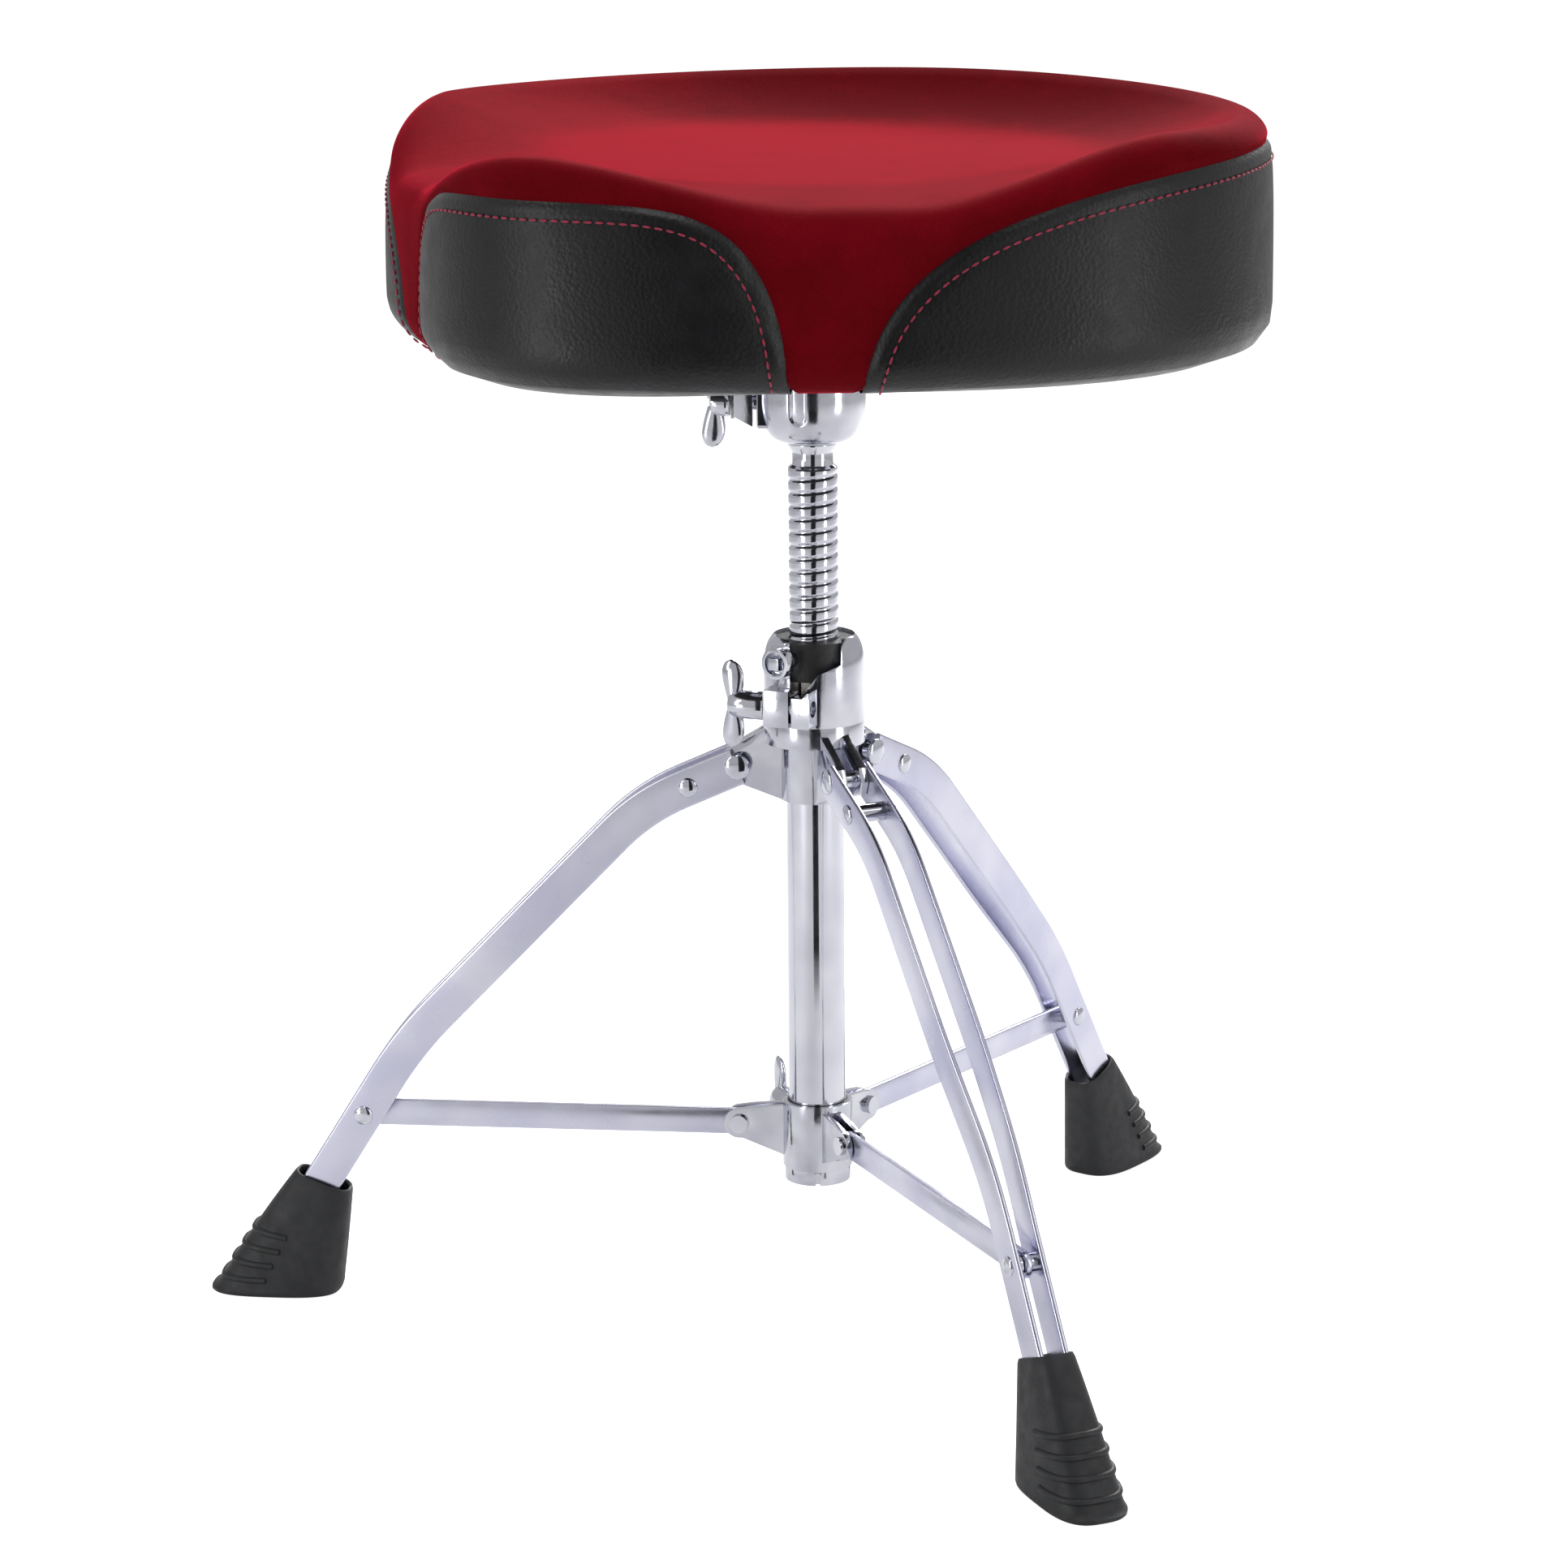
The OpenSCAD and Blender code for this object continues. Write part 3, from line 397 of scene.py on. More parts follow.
def velour():
    # Knitted red velour: a short dense pile with brushed strokes and a glow at grazing angles, and painted
    # sheen and shade:
    # the dish floor and front crest are painted bright red and the walls deep red, where top light and
    # grazing sheen fall
    def colour(tree, place):
        # Painted sheen and shade: the attribute read here is 1 on the dish floor and 0 on the walls, lifting
        # the colour where top light and sheen fall
        painted_sheen = add(tree, "ShaderNodeAttribute", attribute_name="painted_sheen").outputs["Fac"]
        strokes = noise(tree, place, 34, 5, 0.62)
        pile = noise(tree, place, 1.3, 2, 0.7)
        strokes_and_painted_sheen = math_node(tree, "MULTIPLY_ADD", math_node(tree, "SUBTRACT", strokes, 0.5), 0.7, painted_sheen)
        shade = between(tree, strokes_and_painted_sheen, "#6E020E", "#AC0C22", 0.0, 1.0)
        fleck = add(tree, "ShaderNodeMix", {0: 0.28}, data_type="RGBA", blend_type="SOFT_LIGHT")
        tree.links.new(shade, fleck.inputs[6])
        tree.links.new(pile, fleck.inputs[7])
        return fleck.outputs[2]

    def bump(tree, place):
        pile = noise(tree, place, 1.0, 3, 0.75)
        nap = noise(tree, place, 26, 4, 0.6)
        both = add(tree, "ShaderNodeMath", {1: 2.2}, [(0, nap), (2, pile)], operation="MULTIPLY_ADD")
        return dented(tree, both.outputs[0], 0.35, 0.55)
    return finish_material(
        "knitted_red_velour", "#800412",
        {"Roughness": 0.95, "IOR": 1.45, "Specular IOR Level": 0.1, "Sheen Weight": 1.0,
         "Sheen Roughness": 0.22, "Sheen Tint": linear("#FF2A4A")},
        colour=colour, bump=bump)


def vinyl():
    # Coated vinyl upholstery: charcoal black with a pebbled leather grain and a soft satin shine
    def grain(tree, place, size_mm, smooth):
        return add(tree, "ShaderNodeTexVoronoi", {"Scale": per(size_mm), "Smoothness": smooth,
                   "Randomness": 1.0}, [("Vector", place)], feature="SMOOTH_F1").outputs["Distance"]

    def bump(tree, place):
        wander = add(tree, "ShaderNodeTexNoise", {"Scale": per(3), "Detail": 2.0}, [("Vector", place)])
        bent = add(tree, "ShaderNodeVectorMath", {1: (0.0006, 0.0006, 0.0006)},
                   [(0, wander.outputs["Color"]), (2, place)], operation="MULTIPLY_ADD")
        pebble = grain(tree, bent.outputs[0], 1.9, 0.35)
        return dented(tree, pebble, 0.3, 0.55)
    return finish_material(
        "grained_black_vinyl", "#111113", {"IOR": 1.5, "Specular IOR Level": 0.36},
        colour=lambda t, p: between(t, noise(t, p, 40, 4), "#0E0E10", "#161619"),
        roughness=lambda t, p: spread(t, noise(t, p, 12, 3), 0.36, 0.46),
        bump=bump)


def thread_cord():
    # Twisted polyester sewing thread: magenta red, with the slight sheen of the ply
    return finish_material(
        "polyester_sewing_thread", "#A8183F", {"IOR": 1.5, "Roughness": 0.6, "Sheen Weight": 0.2},
        colour=lambda t, p: between(t, noise(t, p, 0.8, 2), "#8E1233", "#C02850"),
        bump=lambda t, p: dented(t, noise(t, p, 0.5, 2), 0.08))


CHROME = chrome_tube()
CHROME_STRIP = chrome_strip()
CAST_CHROME = chrome_casting()
ZINC = zinc_steel()
PLATED_BRASS = plated_brass()
NYLON = nylon()
RUBBER = rubber()
PLYWOOD = plywood()
DUST_CLOTH = dust_cloth()
VELOUR = velour()
VINYL = vinyl()
THREAD = thread_cord()

# ------------------------------------------------------------------ geometry node trees


def new_tree(name, sizes):
    """A geometry tree with a Geometry input and output and one float input for each named size."""
    tree = bpy.data.node_groups.new(name, "GeometryNodeTree")
    tree.interface.new_socket("Geometry", in_out="INPUT", socket_type="NodeSocketGeometry")
    ids = {}
    for size in sizes:
        ids[size] = tree.interface.new_socket(size, in_out="INPUT", socket_type="NodeSocketFloat").identifier
    material = tree.interface.new_socket("Material", in_out="INPUT", socket_type="NodeSocketMaterial")
    ids["Material"] = material.identifier
    tree.interface.new_socket("Geometry", in_out="OUTPUT", socket_type="NodeSocketGeometry")
    return tree, tree.nodes.new("NodeGroupInput"), tree.nodes.new("NodeGroupOutput"), ids


def close_tree(tree, start, end, geometry):
    """Ends a tree in Realize Instances and Set Material."""
    whole = add(tree, "GeometryNodeRealizeInstances", links=[("Geometry", geometry)])
    painted = add(tree, "GeometryNodeSetMaterial", links=[("Geometry", whole.outputs[0]),
                  ("Material", start.outputs["Material"])])
    tree.links.new(painted.outputs[0], end.inputs[0])


def grown(name, source, grower, material, **sizes):
    """Runs a geometry tree on a source mesh or curve and returns the result as a plain mesh object."""
    tree, ids = grower
    obj = link(name + "_source", source)
    modifier = obj.modifiers.new("grow", "NODES")
    modifier.node_group = tree
    for size, value in sizes.items():
        modifier[ids[size]] = float(value)
    modifier[ids["Material"]] = material
    graph = bpy.context.evaluated_depsgraph_get()
    mesh = bpy.data.meshes.new_from_object(obj.evaluated_get(graph))
    bpy.data.objects.remove(obj)
    mesh.name = name
    if material.name not in mesh.materials:
        mesh.materials.append(material)
    return link(name, mesh)


def path_curve(name, lines, cyclic=False):
    """A curve with one poly spline through each list of points in millimetres."""
    curve = bpy.data.curves.new(name, "CURVE")
    curve.dimensions = "3D"
    for line in lines:
        spline = curve.splines.new("POLY")
        spline.points.add(len(line) - 1)
        for k, p in enumerate(line):
            spline.points[k].co = (p[0] * MM, p[1] * MM, p[2] * MM, 1)
        spline.use_cyclic_u = cyclic
    return curve


def thread_tree():
    """A rod wall that dips along a right-handed helix. Sizes: Radius, Depth, Pitch, Length, Groove."""
    tree, start, end, ids = new_tree("rolled_thread", ["Radius", "Depth", "Pitch", "Length", "Groove"])
    sheet = add(tree, "GeometryNodeMeshGrid", {"Size X": 1.0, "Size Y": 1.0, "Vertices X": 65,
                "Vertices Y": 460})
    place = add(tree, "GeometryNodeInputPosition")
    parts = add(tree, "ShaderNodeSeparateXYZ", links=[(0, place.outputs[0])])
    turn = math_node(tree, "MULTIPLY", parts.outputs["X"], -2 * math.pi)
    height = math_node(tree, "MULTIPLY", math_node(tree, "ADD", parts.outputs["Y"], 0.5),
                       start.outputs["Length"])
    turns = math_node(tree, "SUBTRACT", math_node(tree, "DIVIDE", height, start.outputs["Pitch"]),
                      math_node(tree, "DIVIDE", turn, 2 * math.pi))
    off = math_node(tree, "SUBTRACT", math_node(tree, "FRACT", turns), 0.5)
    reach = math_node(tree, "DIVIDE", math_node(tree, "MULTIPLY", off, start.outputs["Pitch"]),
                      start.outputs["Groove"])
    dip = math_node(tree, "EXPONENT", math_node(tree, "MULTIPLY", math_node(tree, "POWER",
                    math_node(tree, "ABSOLUTE", reach), 2.6), -1))
    radius = math_node(tree, "SUBTRACT", start.outputs["Radius"],
                       math_node(tree, "MULTIPLY", start.outputs["Depth"], dip))
    where = add(tree, "ShaderNodeCombineXYZ", links=[
        ("X", math_node(tree, "MULTIPLY", radius, math_node(tree, "COSINE", turn))),
        ("Y", math_node(tree, "MULTIPLY", radius, math_node(tree, "SINE", turn))),
        ("Z", height)])
    bent = add(tree, "GeometryNodeSetPosition", links=[("Geometry", sheet.outputs["Mesh"]),
               ("Position", where.outputs[0])])
    welded = add(tree, "GeometryNodeMergeByDistance", {"Distance": 0.001 * MM},
                 [("Geometry", bent.outputs[0])])
    smooth = add(tree, "GeometryNodeSetShadeSmooth", links=[("Geometry", welded.outputs[0])])
    close_tree(tree, start, end, smooth.outputs[0])
    return tree, ids


def stitch_tree():
    """Short stitches laid along a path. Sizes: Pitch, Length, Thickness."""
    tree, start, end, ids = new_tree("lock_stitch_row", ["Pitch", "Length", "Thickness"])
    steps = add(tree, "GeometryNodeResampleCurve", {}, [("Curve", start.outputs["Geometry"]),
                ("Length", start.outputs["Pitch"])], mode="LENGTH")
    tangent = add(tree, "GeometryNodeInputTangent")
    lay = add(tree, "FunctionNodeAlignRotationToVector", {"Factor": 1.0},
              [("Vector", tangent.outputs[0])], axis="X")
    stitch = add(tree, "GeometryNodeMeshIcoSphere", {"Radius": 0.5, "Subdivisions": 2})
    shape = add(tree, "ShaderNodeCombineXYZ", links=[("X", start.outputs["Length"]),
                ("Y", start.outputs["Thickness"]), ("Z", start.outputs["Thickness"])])
    sized = add(tree, "GeometryNodeTransform", links=[("Geometry", stitch.outputs["Mesh"]),
                ("Scale", shape.outputs[0])])
    row = add(tree, "GeometryNodeInstanceOnPoints", links=[("Points", steps.outputs[0]),
              ("Instance", sized.outputs[0]), ("Rotation", lay.outputs[0])])
    smooth = add(tree, "GeometryNodeSetShadeSmooth", links=[("Geometry", row.outputs[0])])
    close_tree(tree, start, end, smooth.outputs[0])
    return tree, ids


def bead_tree():
    """A round bead swept along each path, closed at its ends. Sizes: Radius."""
    tree, start, end, ids = new_tree("moulded_bead", ["Radius"])
    ring = add(tree, "GeometryNodeCurvePrimitiveCircle", {"Resolution": 10},
               [("Radius", start.outputs["Radius"])])
    bead = add(tree, "GeometryNodeCurveToMesh", {"Fill Caps": True},
               [("Curve", start.outputs["Geometry"]), ("Profile Curve", ring.outputs["Curve"])])
    smooth = add(tree, "GeometryNodeSetShadeSmooth", links=[("Geometry", bead.outputs[0])])
    close_tree(tree, start, end, smooth.outputs[0])
    return tree, ids


def rivet_tree():
    """A low domed rivet head on every point, facing along the point's normal. Sizes: Radius, Dome."""
    tree, start, end, ids = new_tree("domed_rivet_heads", ["Radius", "Dome"])
    to_points = add(tree, "GeometryNodeMeshToPoints", links=[("Mesh", start.outputs["Geometry"])])
    facing = add(tree, "GeometryNodeInputNamedAttribute", {"Name": "facing"}, data_type="FLOAT_VECTOR")
    turn = add(tree, "FunctionNodeAlignRotationToVector", {"Factor": 1.0},
               [("Vector", facing.outputs[0])], axis="Z")
    ball = add(tree, "GeometryNodeMeshUVSphere", {"Radius": 1.0, "Segments": 32, "Rings": 16})
    shape = add(tree, "ShaderNodeCombineXYZ", links=[("X", start.outputs["Radius"]),
                ("Y", start.outputs["Radius"]), ("Z", start.outputs["Dome"])])
    sized = add(tree, "GeometryNodeTransform", links=[("Geometry", ball.outputs["Mesh"]),
                ("Scale", shape.outputs[0])])
    heads = add(tree, "GeometryNodeInstanceOnPoints", links=[("Points", to_points.outputs[0]),
                ("Instance", sized.outputs[0]), ("Rotation", turn.outputs[0])])
    smooth = add(tree, "GeometryNodeSetShadeSmooth", links=[("Geometry", heads.outputs[0])])
    close_tree(tree, start, end, smooth.outputs[0])
    return tree, ids


ROLLED_THREAD = thread_tree()
STITCH_ROW = stitch_tree()
BEAD = bead_tree()
RIVET_HEADS = rivet_tree()

# ------------------------------------------------------------------ the pad's outline and section


def from_nose(angle):
    """Angle from the nose's direction, 0 to 180 degrees."""
    return np.abs((np.asarray(angle, float) + 90 + 540) % 360 - 180)


def swell(x):
    """Half a cosine wave, from 0 to 1."""
    return (1 - np.cos(np.pi * ramp(x))) / 2


def reach(angle):
    """Radius of the pad's outline."""
    p = from_nose(angle)
    front = mix(NOSE_REACH, RECESS_REACH, swell(p / RECESS_DIR))
    side = mix(RECESS_REACH, HIP_REACH, swell((p - RECESS_DIR) / (HIP_DIR - RECESS_DIR)))
    rear = mix(HIP_REACH, REAR_REACH, swell((p - HIP_DIR) / (180 - HIP_DIR)))
    return np.where(p < RECESS_DIR, front, np.where(p < HIP_DIR, side, rear))


def rim_height(angle):
    """Height of the rim over the underside."""
    p = from_nose(angle)
    front = mix(NOSE_H, RECESS_H, ease(p / RECESS_DIR))
    side = mix(RECESS_H, REAR_H - 6, ease((p - RISE_FROM) / (RISE_TO - RISE_FROM)))
    rear = 6 * ease((p - HIP_DIR) / (180 - HIP_DIR))
    return np.where(p < RECESS_DIR, front, side + rear)


def seam_height(angle):
    """Height of the seam between the soft top and the side panels, 0 in the thigh recesses."""
    p = from_nose(angle)
    nose = NOSE_PANEL_H * np.sqrt(1 - ramp(p / NOSE_PANEL_HALF) ** 4.5)
    rear = REAR_PANEL_H * np.sqrt(1 - ramp((180 - p) / (180 - REAR_PANEL_START)) ** 6)
    return np.maximum(nose, rear)


def side_point(angle, height, depth=0.0):
    """Point on the pad's side, depth under its skin, in the row frame."""
    top = rim_height(angle) - RIM_ROUND
    below = (height - BASE_ROUND) / BASE_ROUND
    above = (height - top) / RIM_ROUND
    up = np.where(height < BASE_ROUND, below, np.where(height > top, above, 0.0))
    out = np.sqrt(np.maximum(0, 1 - up * up))
    inset = (1 - out) * np.where(height < BASE_ROUND, BASE_ROUND, RIM_ROUND)
    r = reach(angle) - inset - depth * out
    t = np.radians(angle)
    return np.stack([r * np.cos(t), r * np.sin(t) + COLUMN_Y, SEAT_Z + height - depth * up], -1)


def top_point(angle, share, depth=0.0):
    """Point on the pad's top, share 1 at the rim and 0 at the middle of the dish."""
    r = (reach(angle) - RIM_ROUND) * share
    height = mix(DISH_H, rim_height(angle), share ** DISH_POWER)
    t = np.radians(angle)
    return np.stack([r * np.cos(t), r * np.sin(t) + COLUMN_Y, SEAT_Z + height - depth], -1)


# Seam lines, walked at even steps so that their steep ends get as many points as their crowns
SEAM_STEP = 4.0


def walked(start, end, step=SEAM_STEP):
    """Angles between two directions whose points on the seam are evenly spaced."""
    t = np.sin(np.linspace(-np.pi / 2, np.pi / 2, 4001))
    angles = mix(start, end, (t + 1) / 2)
    line = side_point(angles, seam_height(angles))
    along = np.concatenate([[0], np.cumsum(np.linalg.norm(np.diff(line, axis=0), axis=1))])
    count = 2 * round(along[-1] / step / 2)
    return np.interp(np.linspace(0, along[-1], count + 1), along, angles)


NOSE_EDGE = NOSE_PANEL_HALF - 0.02
REAR_EDGE = REAR_PANEL_START + 0.02
NOSE_SEAM = walked(-90 - NOSE_EDGE, -90 + NOSE_EDGE)
REAR_SEAM = walked(-90 + REAR_EDGE, 270 - REAR_EDGE)
RECESS_COLUMNS = 10
RECESS_SEAM = np.linspace(-90 + NOSE_EDGE, -90 + REAR_EDGE, RECESS_COLUMNS + 1)
OTHER_RECESS_SEAM = np.linspace(270 - REAR_EDGE, 270 - NOSE_EDGE, RECESS_COLUMNS + 1)


def crown(distance, height=2.2, width=16.0, groove=1.6, groove_width=2.4):
    """How far filling pushes a cover out at a distance from its seam, with a sewn groove at the seam."""
    return height * (1 - np.exp(-distance / width)) - groove * np.exp(-(distance / groove_width) ** 2)


def pushed(points, offset):
    """Moves a grid of points along its own normals."""
    across_cols = np.roll(points, -1, 1) - np.roll(points, 1, 1)
    across_cols[:, 0] = points[:, 1] - points[:, 0]
    across_cols[:, -1] = points[:, -1] - points[:, -2]
    up_rows = np.gradient(points, axis=0)
    normal = np.cross(across_cols, up_rows)
    size = np.linalg.norm(normal, axis=2, keepdims=True)
    normal = normal / np.maximum(size, 1e-9)
    return points + normal * offset[..., None]


def grid_faces(rows, columns, closed):
    """Quads of a grid whose columns run anticlockwise and whose rows run upwards."""
    last = columns if closed else columns - 1
    return [(i * columns + j, i * columns + (j + 1) % columns, (i + 1) * columns + (j + 1) % columns,
             (i + 1) * columns + j) for i in range(rows - 1) for j in range(last)]


PANEL_SHARES = 1 - np.array([1, 0.93, 0.85, 0.76, 0.67, 0.58, 0.5, 0.42, 0.35, 0.28, 0.22, 0.175, 0.14,
                             0.11, 0.085, 0.065, 0.048, 0.034, 0.022, 0.011, 0.0])
WRAP = 22.0
WRAP_DROP = 0.4


def panel_grid(seam):
    """Grid of a side panel, from the underside's edge up to its seam."""
    base = np.linspace(seam[0], seam[-1], len(seam))
    rows = []
    for share in PANEL_SHARES:
        angle = mix(base, seam, share ** 1.5)
        rows.append(side_point(angle, seam_height(seam) * share))
    return np.array(rows)


def seam_distance(points, line):
    """Distance of each grid point from the nearest point of a line."""
    flat = points.reshape(-1, 3)
    best = np.full(len(flat), 1e9)
    for k in range(0, len(flat), 2000):
        gap = flat[k:k + 2000, None] - line[None]
        best[k:k + 2000] = np.sqrt((gap ** 2).sum(2)).min(1)
    return best.reshape(points.shape[:2])


def dense_seam(start, end):
    angles = walked(start, end, 1.0)
    return side_point(angles, seam_height(angles))


NOSE_LINE = dense_seam(-90 - NOSE_EDGE, -90 + NOSE_EDGE)
REAR_LINE = dense_seam(-90 + REAR_EDGE, 270 - REAR_EDGE)
STITCH_INSET = 8.0
COVER_CROWN = 1.6


def filled(obj, sewn, most_mm):
    """Cloth simulation: filling pushes a panel out between its sewn vertices, by most_mm at most."""
    obj.vertex_groups.new(name="sewn").add([int(k) for k in sewn], 1.0, "REPLACE")
    cloth = obj.modifiers.new("filling", "CLOTH")
    cloth.settings.quality = 5
    cloth.settings.mass = 0.3
    cloth.settings.vertex_group_mass = "sewn"
    cloth.settings.tension_stiffness = 15
    cloth.settings.compression_stiffness = 15
    cloth.settings.bending_stiffness = 0.6
    cloth.settings.use_pressure = True
    cloth.settings.uniform_pressure_force = 4
    cloth.settings.effector_weights.gravity = 0
    cloth.point_cache.frame_start = 1
    cloth.point_cache.frame_end = 20
    scene = bpy.context.scene
    for step in range(1, 21):
        scene.frame_set(step)
    done = obj.evaluated_get(bpy.context.evaluated_depsgraph_get()).data
    rest = np.empty(3 * len(obj.data.vertices), np.float32)
    obj.data.vertices.foreach_get("co", rest)
    held = np.empty_like(rest)
    done.vertices.foreach_get("co", held)
    way = (held - rest).reshape(-1, 3)
    size = np.linalg.norm(way, axis=1, keepdims=True) + 1e-9
    cap = most_mm * MM
    rest = rest.reshape(-1, 3) + way / size * cap * np.tanh(size / cap)
    obj.modifiers.clear()
    obj.vertex_groups.clear()
    obj.data.vertices.foreach_set("co", rest.ravel())
    obj.data.update()
    scene.frame_set(1)


def side_panel(name, seam, line):
    """A vinyl side panel: filled out between its seam and the underside, dented along its stitches."""
    grid = panel_grid(seam)
    away = seam_distance(grid, line)
    puff = crown(away) - 0.7 * np.exp(-((away - STITCH_INSET) / 1.3) ** 2)
    foot = ramp((grid[..., 2] - SEAT_Z) / 14)
    grid = pushed(grid, puff * foot)
    inward = grid[0] - (0, COLUMN_Y, 0)
    inward[:, 2] = 0
    inward /= np.linalg.norm(inward, axis=1, keepdims=True)
    wrap = [grid[0] - inward * WRAP + (0, 0, WRAP_DROP), grid[0] - inward * WRAP / 2 + (0, 0, WRAP_DROP / 2)]
    grid = np.concatenate([np.array(wrap), grid])
    count = grid.shape[0] * grid.shape[1]
    panel = piece(name, grid.reshape(-1, 3), grid_faces(len(grid), grid.shape[1], False), VINYL,
                  sharp_deg=180, closed=False)
    order = np.arange(count).reshape(grid.shape[:2])
    filled(panel, np.concatenate([order[:3].ravel(), order[-1], order[:, 0], order[:, -1]]), 2.0)
    return panel


def stitch_path(seam_angles):
    """A line STITCH_INSET inside a panel's seam, just over the panel's skin."""
    angles = walked(seam_angles[0], seam_angles[-1], 2.0)
    radii = (reach(angles[1:]) + reach(angles[:-1])) / 2
    width = np.concatenate([[0], np.cumsum(np.radians(np.diff(angles)) * radii)])
    height = seam_height(angles)
    flat = np.stack([width, height], 1)
    ahead = np.gradient(flat, axis=0)
    ahead /= np.linalg.norm(ahead, axis=1, keepdims=True)
    inner = flat + STITCH_INSET * np.stack([ahead[:, 1], -ahead[:, 0]], 1)
    inside = inner[:, 1] > 1.0
    inner = inner[inside]
    steps = np.interp(inner[:, 0], width, angles)
    return side_point(steps, inner[:, 1], -1.25)


SIDE_ROWS = 20
TOP_ROWS = 30


def top_cover():
    """The soft top: over the rim and dish, down to the seams, and down both thigh recesses."""
    seam = np.concatenate([NOSE_SEAM[:-1], RECESS_SEAM[:-1], REAR_SEAM[:-1], OTHER_RECESS_SEAM[:-1]])
    n = len(seam)
    anchors = [0, (len(NOSE_SEAM) - 1) / 2, len(NOSE_SEAM) - 1 + RECESS_COLUMNS / 2,
               len(NOSE_SEAM) - 1 + RECESS_COLUMNS + (len(REAR_SEAM) - 1) / 2, n - RECESS_COLUMNS / 2, n]
    recess_mid = (NOSE_PANEL_HALF + REAR_PANEL_START) / 2
    edge = mix(-90 - recess_mid, -90, RECESS_COLUMNS / (RECESS_COLUMNS + len(NOSE_SEAM) - 1.0))
    rim = np.interp(np.arange(n), anchors, [edge, -90, -90 + recess_mid, 90, 270 - recess_mid, edge + 360])
    rows = []
    for i in range(SIDE_ROWS + 1):
        share = (i / SIDE_ROWS) ** 1.25
        angle = mix(seam, rim, ease(share))
        low_end = seam_height(seam)
        rows.append(side_point(angle, mix(low_end, rim_height(angle), 1 - (1 - share) ** 1.3)))
    for i in range(1, TOP_ROWS):
        rows.append(top_point(rim, 1 - i / TOP_ROWS))
    grid = np.array(rows)
    away = np.minimum(seam_distance(grid, NOSE_LINE), seam_distance(grid, REAR_LINE))
    foot = ramp((grid[..., 2] - SEAT_Z) / 14)
    grid = pushed(grid, crown(away, COVER_CROWN) * foot)
    inward = grid[0] - (0, COLUMN_Y, 0)
    inward[:, 2] = 0
    inward /= np.linalg.norm(inward, axis=1, keepdims=True)
    under = ramp(1 - seam_height(seam) / 2)[:, None]
    wrap = [grid[0] - inward * WRAP * under, grid[0] - inward * WRAP / 2 * under]
    middle = np.array([[0, COLUMN_Y, SEAT_Z + DISH_H + COVER_CROWN]])
    grid = np.concatenate([np.array(wrap), grid])
    points = np.concatenate([grid.reshape(-1, 3), middle])
    faces = grid_faces(len(grid), n, True)
    last = (len(grid) - 1) * n
    faces += [(last + j, last + (j + 1) % n, len(points) - 1) for j in range(n)]
    top = piece("seat_top_cover", points, faces, VELOUR, sharp_deg=180, closed=False)
    # Painted sheen: an attribute, 1 on the dish floor, up to 0.42 on the front crest and 0 on the sides,
    # paints the velour lighter where light and sheen fall
    painted_crest_sheen = 0.42 * (1 - ease((from_nose(rim) - 100) / 40))
    painted_sheen = [0 * painted_crest_sheen] * 2 + [painted_crest_sheen * (i / SIDE_ROWS) ** 4 for i in range(SIDE_ROWS + 1)]
    painted_sheen += [mix(1.0, painted_crest_sheen, ease((1 - i / TOP_ROWS - 0.6) / 0.17)) for i in range(1, TOP_ROWS)]
    flat = np.concatenate([np.array(painted_sheen).ravel(), [1.0]])
    top.data.attributes.new("painted_sheen", "FLOAT", "POINT").data.foreach_set("value", flat)
    return top


cover = top_cover()
set_on(cover, "seat_post", "red_velour", "top_cover", "foam_pad")
nose_side = side_panel("seat_nose_panel", NOSE_SEAM, NOSE_LINE)
set_on(nose_side, "seat_post", "black_vinyl", "nose_panel")
rear_side = side_panel("seat_rear_panel", REAR_SEAM, REAR_LINE)
set_on(rear_side, "seat_post", "black_vinyl", "rear_panel")

stitch_lines = path_curve("stitch_lines", [stitch_path(NOSE_SEAM), stitch_path(REAR_SEAM)])
stitches = grown("seat_panel_stitches", stitch_lines, STITCH_ROW, THREAD, Pitch=5.2 * MM, Length=3.9 * MM,
                 Thickness=1.1 * MM)
set_on(stitches, "seat_post", "red_velour")

# ------------------------------------------------------------------ threaded rod

THREAD_Z0 = ROD_Z0 + 16
THREAD_Z1 = HUB_Z - 12.5
NECK_R = ROD_R - 2.2


